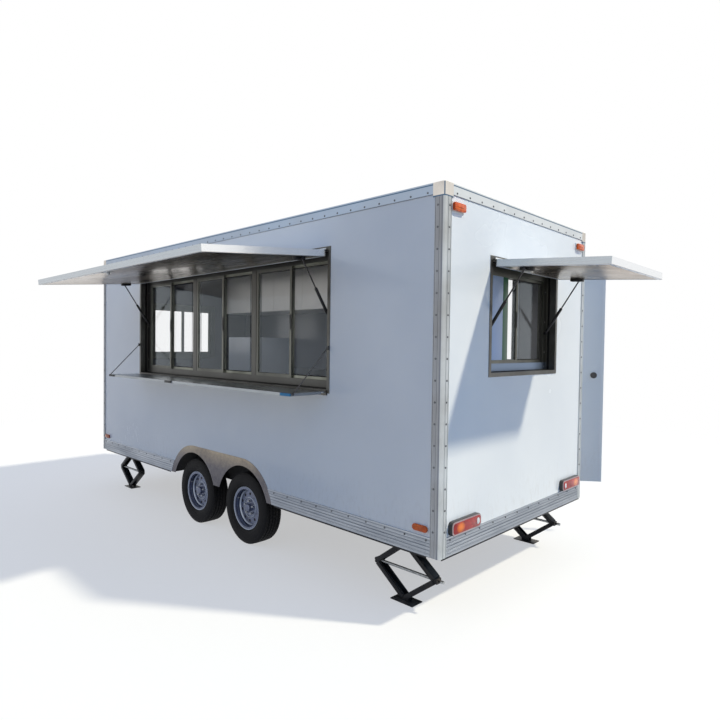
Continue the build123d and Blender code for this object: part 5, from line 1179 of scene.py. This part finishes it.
for corner, out in CORNERS:
    body = f"wheel_{corner}"
    centre = middle_of(f"tyre_{corner}")
    axle = (0, out, 0)
    lips = Pile().turned(LIP, centre, axle, 96)
    for outline in PRESSED_RINGS:
        lips.turned(on_disc(outline), centre, axle, 96)
    lips.piece(f"rim_lip_{corner}", body, "lip", "wheel_steel", bevel=0)
    Pile().turned(on_disc(CAP), centre, axle, 40).piece(f"hub_cap_{corner}", body, "wheel", "wheel_steel", bevel=0)
    studs = Pile().turned(on_disc(STUD_SEAT), NUT_AT, axle, 18).turned(on_disc(STUD_TIP), NUT_AT, axle, 18)
    metal = Pile().add(around(studs, NUT_COUNT, centre, "zinc"))
    stem = centre + Vector((VALVE_AT[0], out * (DISC_FACE + VALVE_SEAT), VALVE_AT[1]))
    metal.bar(stem, stem + Vector((0, out * VALVE_LENGTH, 0)), VALVE_RADIUS, 12)
    metal.piece(f"wheel_studs_{corner}", body, "zinc", "galvanised", bevel=0, smooth=35)
    # A black ring on the drum's face: painted shade for the dark seen through the vents.
    Pile().turned(on_disc(DRUM_SHADE_RING), centre, axle, 64).piece(f"drum_shade_{corner}", body, "chassis", "black_steel",
                                                              bevel=0)
print("wheels dressed")

# %% [markdown]
# ## Checker plate
#
# The plates over the wheels are rolled with lozenges that lie in alternate directions. Points are laid on a
# grid, kept where the plate is, and the third tree stands a flattened sphere on each.

# %% Stand lozenges on a grid of points
# Half length, half width and height of a lozenge
LOZENGE = (0.0105, 0.0042, 0.0013)
LOZENGE_PITCH = 0.023
ARCH_OUTER = 0.432
ARCH_CUT = 0.378
WHEELS = [middle_of(f"tyre_{end}_left") for end in ENDS]


def on_plate(x, z):
    """Whether a point lies on the outer plate: inside its outline, clear of both wheel openings."""
    if z < BASE + 0.012 or z > hood_high.z:
        return False
    near = min(max(x, WHEELS[1].x), WHEELS[0].x)
    inside = math.hypot(x - near, z - WHEELS[0].z) < ARCH_OUTER
    return inside and all(math.hypot(x - w.x, z - w.z) > ARCH_CUT for w in WHEELS)


def lozenges(face, sign):
    rows = int((hood_high.z - BASE) / LOZENGE_PITCH) + 1
    columns = int((hood_high.x - hood_low.x) / LOZENGE_PITCH) + 2
    grid = [(hood_low.x + column * LOZENGE_PITCH, BASE + 0.01 + row * LOZENGE_PITCH)
            for row in range(rows) for column in range(columns) if (row + column) % 2 == (sign > 0)]
    mesh = bpy.data.meshes.new("spots")
    mesh.from_pydata([(x, face, z) for x, z in grid if on_plate(x, z)], [], [])
    turn = [math.radians(90), math.radians(sign * 45), 0]
    return grown(STUDS, mesh, "checker", Size=list(LOZENGE), Turn=turn)


for name, face in (("left", hood_high.y), ("right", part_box("wheel_box_right")[0].y)):
    plate = Pile().add(lozenges(face, 1)).add(lozenges(face, -1))
    print(plate.piece(f"checker_lozenges_{name}", "trailer", "checker", "checker", bevel=0).name)

# %% [markdown]
# ## Lamps
#
# Each tail lamp is a black tray with round corners, a bright rim and one red lens, which glows amber near
# its outer end and has a small clear oval at its inner end. All of them are the same rounded outline,
# pushed out from the wall to different depths, so that one function serves them. The side markers are
# full ovals, the ones under the roof are blocks with round corners on a pale foot.

# %% Lenses and feet
TAIL_RISE = 0.003
SPOT_INSET = 0.042
SIDE_MARKER_INSET = 0.146
SIDE_MARKER_RISE = 0.166
TOP_MARKER_INSET = 0.142
TOP_MARKER_DROP = 0.138
# Plates of the markers: width, height and corner radius
SIDE_FOOT, SIDE_OVAL = (0.128, 0.050, 0.0245), (0.118, 0.042, 0.0205)
TOP_FOOT, TOP_BLOCK = (0.136, 0.062, 0.012), (0.124, 0.050, 0.014)
RIB_LOW, RIB_HIGH = Vector((-0.0262, -0.034, -0.003)), Vector((-0.020, 0.034, 0.003))
BACK = (-1, 0, 0)


def rounded(wide, tall, radius, steps=7):
    """Outline of a rectangle with round corners, as pairs."""
    line = []
    for corner, (sx, sy) in enumerate(((1, 1), (-1, 1), (-1, -1), (1, -1))):
        for k in range(steps):
            turn = math.pi / 2 * (corner + k / (steps - 1))
            line.append((sx * (wide / 2 - radius) + radius * math.cos(turn),
                         sy * (tall / 2 - radius) + radius * math.sin(turn)))
    return line


def facing(centre, out):
    """Matrix that lays an outline flat on a wall whose outward way is out."""
    out = Vector(out)
    up = Vector((0, 0, 1))
    place = Matrix((up.cross(out), up, out)).transposed().to_4x4()
    place.translation = centre
    return place


def press(pile, wall, size, low, high):
    """A plate with round corners on a wall; size is its width, height and radius."""
    pile.take(Pile().prism(rounded(*size), low, high).move(wall))


tail_low, tail_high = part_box("tail_lamps")
tall, deep = tail_high.z - tail_low.z, tail_high.x - tail_low.x
trays, lenses, rims, spots, feet, ovals, reflex = (Pile() for _ in range(7))
for side in BOTH:
    centre = Vector((tail_high.x, side * (tail_high.y - TAIL_LENGTH / 2), (tail_low.z + tail_high.z) / 2))
    wall = facing(centre, BACK)
    press(trays, wall, (TAIL_LENGTH, tall, 0.026), 0, deep - 0.004)
    press(rims, wall, (TAIL_LENGTH - 0.004, tall - 0.004, 0.025), deep - 0.005, deep)
    press(lenses, wall, (TAIL_LENGTH - 0.020, tall - 0.020, 0.022), deep - 0.001, deep + TAIL_RISE)
    spot = centre + Vector((-deep - TAIL_RISE, -side * (TAIL_LENGTH / 2 - SPOT_INSET), 0))
    press(spots, facing(spot, BACK), (0.030, tall * 0.46, 0.0145), -0.001, 0.0012)
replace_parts(trays.piece("tail_lamp_trays", "trailer", "plastic", "lock_black", bevel=0.002), "tail_lamps")
rims.piece("tail_lamp_rims", "trailer", "chrome", "rod_chrome", bevel=0.0015)
lenses.piece("tail_lenses", "trailer", "tail", "lamp_red", bevel=0.0022)
spots.piece("reversing_spots", "trailer", "clear", "glass", bevel=0.0006)
for x in (REAR + SIDE_MARKER_INSET, FRONT - SIDE_MARKER_INSET):
    for side in BOTH:
        wall = facing((x, side * SKIN, BASE + SIDE_MARKER_RISE), (0, side, 0))
        press(feet, wall, SIDE_FOOT, -SUNK, 0.0035)
        press(ovals, wall, SIDE_OVAL, 0.003, 0.0165)
for side in BOTH:
    centre = Vector((REAR + RAIL_PROUD, side * (LEFT - TOP_MARKER_INSET), ROOF - TOP_MARKER_DROP))
    wall = facing(centre, BACK)
    press(feet, wall, TOP_FOOT, -SUNK, 0.006)
    press(ovals, wall, TOP_BLOCK, 0.005, 0.024)
    reflex.box(centre + RIB_LOW, centre + RIB_HIGH)
feet.piece("marker_feet", "trailer", "board", "furniture", bevel=0.001)
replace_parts(ovals.piece("marker_lenses", "trailer", "amber", "lamp_amber", bevel=0.004), "marker_lamps")
reflex.piece("marker_ribs", "trailer", "amber", "lamp_amber", bevel=0.001)
print("lamps fitted")

# %% [markdown]
# ## Windows
#
# Each bay slides in two sashes. Black gaskets hold the panes, each sash has a pull at its meeting edge, and
# the frame's corners are screwed. The rear window's near sash still carries the green protective strip
# that the photograph shows, with a pale one beside it. All of it is laid out from the frame's own box and
# the same bar widths.

# %% Gaskets, pulls, screws and the two strips
MEMBER = 0.058
MULLION = 0.064
SASH = 0.024
SASH_DEEP = 0.016
LAP = 0.026
GASKET = 0.005
GASKET_INSET = 0.0025
GASKET_DEEP = 0.002
GASKET_LAP = 0.001
PULL = (0.008, 0.06)
SCREW = ((-0.001, 0.0045), (0.0008, 0.0045), (0.0016, 0.003), (0.0010, 0.001))
SCREW_SHARES = (0.35, 2.4)
FILM = 0.001
FILM_BACK = 0.004
STRIPS = {"green": (0.127, 0.198), "pale": (0.198, 0.420)}


def at(flat, along, across, height):
    """A point by its place along a wall, across it and up it; flat is the axis across the wall."""
    return (along, across, height) if flat == 1 else (across, along, height)


def sashes(u0, u1, bays):
    """Spans of the outer and the inner sash of each bay."""
    bay = (u1 - u0 - 2 * MEMBER - MULLION * (bays - 1)) / bays
    for k in range(bays):
        start = u0 + MEMBER + k * (bay + MULLION)
        middle = start + bay / 2
        yield start, middle + LAP / 2, 0
        yield middle - LAP / 2, start + bay, 1


def fit_window(name, low, high, flat, out, bays):
    """Gaskets, pulls and screws in the plane of one window; flat is the axis across the wall."""
    along = 1 - flat
    outer = high[flat] if out > 0 else low[flat]
    step = (high[flat] - low[flat] - 2 * SASH_DEEP) / 3
    z0, z1 = low.z + MEMBER, high.z - MEMBER
    half, rise = PULL
    gaskets, pulls, screws = Pile(), Pile(), Pile()
    for u0, u1, track in sashes(low[along], high[along], bays):
        face = outer - out * (step + track * (step + SASH_DEEP))
        for sheet in (face - out * GASKET_INSET, face - out * (SASH_DEEP - GASKET_INSET)):
            near, far = sorted((sheet, sheet - out * GASKET_DEEP))
            gaskets.frame(at(flat, u0 + SASH - GASKET_LAP, near, z0 + SASH - GASKET_LAP),
                          at(flat, u1 - SASH + GASKET_LAP, far, z1 - SASH + GASKET_LAP), GASKET, flat)
        meeting = u1 - SASH / 2 if track == 0 else u0 + SASH / 2
        pulls.box(at(flat, meeting - half, face + out * 0.004, (z0 + z1) / 2 - rise),
                  at(flat, meeting + half, face - out * 0.001, (z0 + z1) / 2 + rise))
    heights = [low.z + MEMBER * share for share in SCREW_SHARES] + [(low.z + high.z) / 2]
    heights += [high.z - MEMBER * share for share in reversed(SCREW_SHARES)]
    for u in (low[along] + MEMBER / 2, high[along] - MEMBER / 2):
        for z in heights:
            screws.turned(SCREW, at(flat, u, outer, z), at(flat, 0, out, 0), 12)
    gaskets.piece(name + "_gaskets", "trailer", "seal", "rubber", bevel=0)
    pulls.piece(name + "_pulls", "trailer", "plastic", "lock_black", bevel=0.0015)
    screws.piece(name + "_screws", "trailer", "zinc", "galvanised", bevel=0)


fit_window("serving_window", serving_low, serving_high, 1, 1, 3)
fit_window("rear_window", rear_low, rear_high, 0, -1, 1)
fit_window("front_window", front_low, front_high, 0, 1, 1)
strip_x = rear_low.x + (rear_high.x - rear_low.x - 2 * SASH_DEEP) / 3 + SASH_DEEP / 2 - FILM_BACK
for strip, (y0, y1) in STRIPS.items():
    Pile().box((strip_x - FILM, y0, rear_low.z + MEMBER + SASH), (strip_x, y1, rear_high.z - MEMBER - SASH)).piece(
        strip + "_strip", "trailer", strip, "frame_grey", bevel=0.0003)
print("windows fitted")

# %% [markdown]
# ## Flaps
#
# From below, each flap is a tray closed by a polished sheet, whose warm brown is a painted reflection of the
# ground. The sheet, its edge strips and screws are laid out on the closed flap, where every direction is level or
# upright, and swung out about the imported hinge by the imported angle. The struts' upper ends are bolted to stout
# blocks, which fill the space beside the imported brackets.

# %% Close the flaps from below
JOINTS = {joint["name"]: joint for joint in frame["record"]["behaviour"]["joints"]}
FLAP_THICK = 0.045
FLAP_CLEAR = 0.008
FLAP_HEAD = 0.006
SHEET = 0.0015
STRIP_GAUGE = 0.0012
EDGING = 0.022
SCREW_PITCH = 0.16
FLAP_SCREW = ((-0.001, 0.0042), (0.0006, 0.0042), (0.0018, 0.0030), (0.0022, 0.0003))
CHEEK_OFF = 0.009
CHEEK_END = 0.048
# Each flap: name, half width, middle, height, axis across its wall, the wall's face, outward way
FLAPS = (("side", 1.49, -3.75, 1.008, 1, LEFT, 1), ("rear", 0.48, 0.0, 0.760, 0, REAR, -1))


def swing(name):
    """The turn that takes a closed flap to the packed, open place."""
    joint = JOINTS[name + "_flap_hinge"]
    hinge = Matrix.Translation(joint["pos_m"])
    angle = math.radians(joint["range_deg"][1])
    return hinge @ Matrix.Rotation(-angle, 4, Vector(joint["axis"])) @ hinge.inverted()


def strut_blocks(name, middle, along, place):
    """A block beside each bracket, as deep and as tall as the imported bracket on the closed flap."""
    packed = frame["nodes"][f"{name}_flap_brackets"].data
    points = [place.inverted() @ vertex.co for vertex in packed.vertices]
    blocks = Pile()
    for side in BOTH:
        own = [point for point in points if (point[along] - middle) * side > 0]
        low, high = (Vector([pick(point[axis] for point in own) for axis in range(3)]) for pick in (min, max))
        near = high[along] if side > 0 else low[along]
        low[along], high[along] = sorted((near - side * CHEEK_OFF, near - side * CHEEK_END))
        blocks.box(low, high)
    return blocks


for name, half, middle, tall, flat, wall, out in FLAPS:
    place = swing(name)
    body = f"{name}_flap"
    top = JOINTS[f"{name}_flap_hinge"]["pos_m"][2] - FLAP_HEAD
    inner = wall - out * FLAP_THICK
    u0, u1 = middle - half + FLAP_CLEAR, middle + half - FLAP_CLEAR
    z0, z1 = top - tall + FLAP_CLEAR, top - FLAP_CLEAR
    sheet = Pile().box(at(flat, u0, inner + out * 0.0005, z0), at(flat, u1, inner - out * SHEET, z1))
    sheet.move(place).piece(f"{name}_flap_sheet", body, "under", "flap_sheet", bevel=0.0004)
    near, far = sorted((inner - out * SHEET * 0.5, inner - out * (SHEET + STRIP_GAUGE)))
    edging = Pile().frame(at(flat, u0, near, z0), at(flat, u1, far, z1), EDGING, flat)
    edging.move(place).piece(f"{name}_flap_edging", body, "rail", "aluminium", bevel=0.0004)
    heads = Pile()
    count = int(2 * half / SCREW_PITCH)
    for k in range(count + 1):
        u = u0 + EDGING / 2 + (u1 - u0 - EDGING) * k / count
        for z in (z0 + EDGING / 2, z1 - EDGING / 2):
            heads.turned(FLAP_SCREW, at(flat, u, near if out > 0 else far, z), at(flat, 0, -out, 0), 10)
    heads.move(place).piece(f"{name}_flap_screws", body, "zinc", "galvanised", bevel=0)
    strut_blocks(name, middle, 1 - flat, place).move(place).piece(f"{name}_strut_blocks", body, "strut",
                                                                  "black_steel", bevel=0.006)
print("flaps closed from below")

# %% [markdown]
# ## Latches and seals
#
# A white latch plate sits under the rear flap, and a latch with a round keeper sits at the middle of the
# side flap's free edge. Both are laid out on the closed flap, a few millimetres proud of its sheet. Behind
# the closed flaps a rubber seal lines each opening.

# %% Latch plates and seals round the openings
# Boxes of the rear latch: depth from the sheet, place across and height
LATCH_BOXES = (((0.001, 0.26, 1.66), (0.005, 0.40, 1.74)), ((0.004, 0.315, 1.675), (0.030, 0.345, 1.725)))
inner = REAR + FLAP_THICK
latch = Pile()
for (near, y0, z0), (far, y1, z1) in LATCH_BOXES:
    latch.box((inner + near, y0, z0), (inner + far, y1, z1))
latch.move(swing("rear")).piece("rear_latch_plate", "rear_flap", "board", "furniture", bevel=0.001)
inner = LEFT - FLAP_THICK
keeper = Pile().box((-3.82, inner - 0.004, 1.00), (-3.68, inner - 0.001, 1.05))
keeper.bar((-3.75, inner - 0.001, 1.025), (-3.75, inner - 0.022, 1.025), 0.012)
keeper.move(swing("side")).piece("side_flap_latch", "side_flap", "zinc", "galvanised", bevel=0.0008)
SEAL_DEEP = (0.052, 0.066)
SEAL_THICK = 0.005
SERVING_SPAN = (-5.236, -2.264)
SERVING_RISE = (BASE + 0.966, ROOF - 0.304)
REAR_REACH = 0.476
REAR_RISE = (ROOF - 1.156, ROOF - 0.404)
seals = Pile()
seals.frame((SERVING_SPAN[0], LEFT - SEAL_DEEP[1], SERVING_RISE[0]),
            (SERVING_SPAN[1], LEFT - SEAL_DEEP[0], SERVING_RISE[1]), SEAL_THICK, 1)
seals.frame((REAR + SEAL_DEEP[0], -REAR_REACH, REAR_RISE[0]), (REAR + SEAL_DEEP[1], REAR_REACH, REAR_RISE[1]),
            SEAL_THICK, 0)
seals.piece("opening_seals", "trailer", "seal", "rubber", bevel=0.001)

# %% [markdown]
# ## Jacks
#
# A scissor jack's arms are pressed channels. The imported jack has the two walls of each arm; a web across
# them turns each pair into a channel, with a flange that laps over the pins. The screw gets its thread, a
# turned outline with one ridge for each turn, and a six-sided end for the crank.

# %% Webs, thread and crank end of each jack
JACK_Y = LEFT - 0.190
JACK_INSET = 0.4
JACK_X = {"rear": REAR + JACK_INSET, "front": FRONT - JACK_INSET}
JACK_REACH = 0.250
JACK_BAR = 0.034
JACK_WEB = 0.066
JACK_SHEET = 0.004
JACK_END_GAP = 0.012
JACK_FOOT = 0.006
JACK_HEAD = 0.010
JACK_SEAT = 0.005
SCREW_LENGTH = 0.47
SCREW_RADIUS = 0.0098
CRANK_AT = 0.284
CRANK_LENGTH = 0.022
CRANK_RADIUS = 0.0115
THREAD_PITCH = 0.010
foot_z = GROUND + JACK_FOOT + JACK_BAR / 2
head_z = BASE - JACK_HEAD - JACK_BAR / 2 - JACK_SEAT
waist_z = (foot_z + head_z) / 2


def thread(start, length, radius):
    """Outline of a threaded bar: distance along it and radius."""
    turns = int(length / THREAD_PITCH)
    line = [(start, 0.0003)]
    for k in range(turns):
        line += [(start + k * THREAD_PITCH, radius - 0.0012), (start + (k + 0.5) * THREAD_PITCH, radius + 0.0008)]
    return line + [(start + turns * THREAD_PITCH, 0.0003)]


def jack_channels(x, y):
    """The four arms' webs and flanges."""
    channels = Pile()
    corners = [(x, foot_z), (x + JACK_REACH, waist_z), (x, head_z), (x - JACK_REACH, waist_z)]
    for (x0, z0), (x1, z1) in zip(corners, corners[1:] + corners[:1]):
        run = Vector((x1 - x0, 0, z1 - z0))
        middle = Vector(((x0 + x1) / 2, y, (z0 + z1) / 2))
        across = Vector((0, 1, 0))
        out = run.normalized().cross(across)
        if out.dot(middle - Vector((x, y, waist_z))) < 0:
            out *= -1
        place = Matrix((run.normalized(), across, out)).transposed().to_4x4()
        place.translation = middle + out * (JACK_BAR / 2)
        half = run.length / 2 - JACK_END_GAP
        part = Pile().box((-half, -JACK_WEB / 2, -JACK_SHEET), (half, JACK_WEB / 2, 0))
        for side in BOTH:
            part.box((-half, side * JACK_WEB / 2, -JACK_BAR * 0.9),
                     (half, side * (JACK_WEB / 2 - JACK_SHEET), -JACK_SHEET / 2))
        channels.take(part.move(place))
    return channels


screws = Pile()
for end, way in (("rear", -1), ("front", 1)):
    for side, sign in SIDES:
        x, y = JACK_X[end], sign * JACK_Y
        jack_channels(x, y).piece(f"jack_channels_{end}_{side}", "trailer", "chassis", "chassis_black", bevel=0.0015)
        screws.turned(thread(-SCREW_LENGTH / 2, SCREW_LENGTH, SCREW_RADIUS), (x, y, waist_z), (1, 0, 0), 14)
        tip = x + way * CRANK_AT
        screws.bar((tip, y, waist_z), (tip + way * CRANK_LENGTH, y, waist_z), CRANK_RADIUS, 6)
screws.piece("jack_screws", "trailer", "zinc", "galvanised", bevel=0)
print("jacks fitted")

# %% [markdown]
# ## Floor and light
#
# A pale floor runs far out and fades to white, so that no horizon shows. The photograph has a high sun
# behind the door side: the rear wall is bright, the serving side is in open shade. A warm sun from there
# and a pale blue sky give the same balance. The sky is a deeper blue behind the trailer, which is what
# tints the shade on its rear wall. Daylight also reaches the kitchen; one wide lamp under the ceiling
# stands for it.

# %% Stage, lamps and sky
FLOOR_REACH = 60.0
FADE = (5.0, 9.0)
FADE_NEAR = 0.50
PALE = (0.86, 0.86, 0.86)
BOUNCE = (0.34, 0.33, 0.32)
SUN_TRAVEL = Vector((1.0, 0.70, -1.45))
SUN_STRENGTH = 3.7
SUN_SOFTNESS = math.radians(3)
SUN_COLOUR = (1.0, 0.93, 0.74)
SKY = (0.48, 0.60, 0.86)
REAR_SKY = (0.12, 0.50, 1.10)
REAR_SKY_SPAN = (-0.25, -0.75)
SKY_STRENGTH = 0.62
CEILING_LIGHT = 10.0
CEILING_SIZE = (3.8, 1.0)
CEILING_PLACE = (MIDDLE_X, 0.25, ROOF - 0.16)


def floor_material():
    """Pale to the eye and darker to the light that bounces off it, fading to white far out."""
    finish = Finish("pale_floor", PALE, 0.9)
    seen = finish.seen()
    pale = finish.mix(finish.noise(30, detail=4.0), PALE, tuple(c * 1.03 for c in PALE))
    finish.set("Base Color", finish.mix(seen, BOUNCE, pale))
    flat = finish.node("ShaderNodeVectorMath", {"operation": "MULTIPLY"}, [finish.place, (1, 1, 0)])
    away = finish.node("ShaderNodeVectorMath", {"operation": "DISTANCE"}, [flat, (MIDDLE_X, 0, 0)], "Value")
    white = finish.node("ShaderNodeEmission", None, {"Color": (1, 1, 1, 1), "Strength": 1.0})
    share = finish.between(away, *FADE, FADE_NEAR, 1.0) * seen
    mixed = finish.node("ShaderNodeMixShader", None, [share, Field(finish, finish.shader.outputs[0]), white])
    finish.tree.links.new(mixed.socket, finish.tree.nodes["Material Output"].inputs["Surface"])
    return finish.material


def lamp(name, kind, power):
    made = bpy.data.objects.new(name, bpy.data.lights.new(name, kind))
    made.data.energy = power
    bpy.context.scene.collection.objects.link(made)
    return made


def stage():
    mesh = bpy.data.meshes.new("floor")
    corners = [(MIDDLE_X + sx * FLOOR_REACH, sy * FLOOR_REACH, GROUND)
               for sx, sy in ((-1, -1), (1, -1), (1, 1), (-1, 1))]
    mesh.from_pydata(corners, [], [(0, 1, 2, 3)])
    mesh.materials.append(floor_material())
    link_mesh("floor", mesh)
    sun = lamp("sun", "SUN", SUN_STRENGTH)
    sun.data.angle = SUN_SOFTNESS
    sun.data.color = SUN_COLOUR
    sun.rotation_mode = "QUATERNION"
    sun.rotation_quaternion = SUN_TRAVEL.to_track_quat("-Z", "Y")
    inside = lamp("ceiling_light", "AREA", CEILING_LIGHT)
    inside.data.shape = "RECTANGLE"
    inside.data.size, inside.data.size_y = CEILING_SIZE
    inside.location = CEILING_PLACE
    inside.visible_camera = inside.visible_glossy = False


def sky():
    """White to the eye; pale blue to what it lights, and a deeper blue from behind the trailer."""
    world = bpy.data.worlds.new("sky")
    bpy.context.scene.world = world
    world.use_nodes = True
    graph = Graph(world.node_tree)
    way = graph.node("ShaderNodeTexCoord", output="Generated")
    tone = graph.mix(graph.between(graph.axis("X", way), *REAR_SKY_SPAN), SKY, REAR_SKY)
    lit = graph.node("ShaderNodeBackground", None, {"Color": tone, "Strength": SKY_STRENGTH})
    white = graph.node("ShaderNodeBackground", None, {"Color": (1, 1, 1, 1)})
    shown = graph.node("ShaderNodeMixShader", None, [graph.seen(), lit, white])
    graph.tree.links.new(shown.socket, graph.tree.nodes["World Output"].inputs["Surface"])


stage()
sky()
bpy.context.scene.view_settings.view_transform = "Standard"
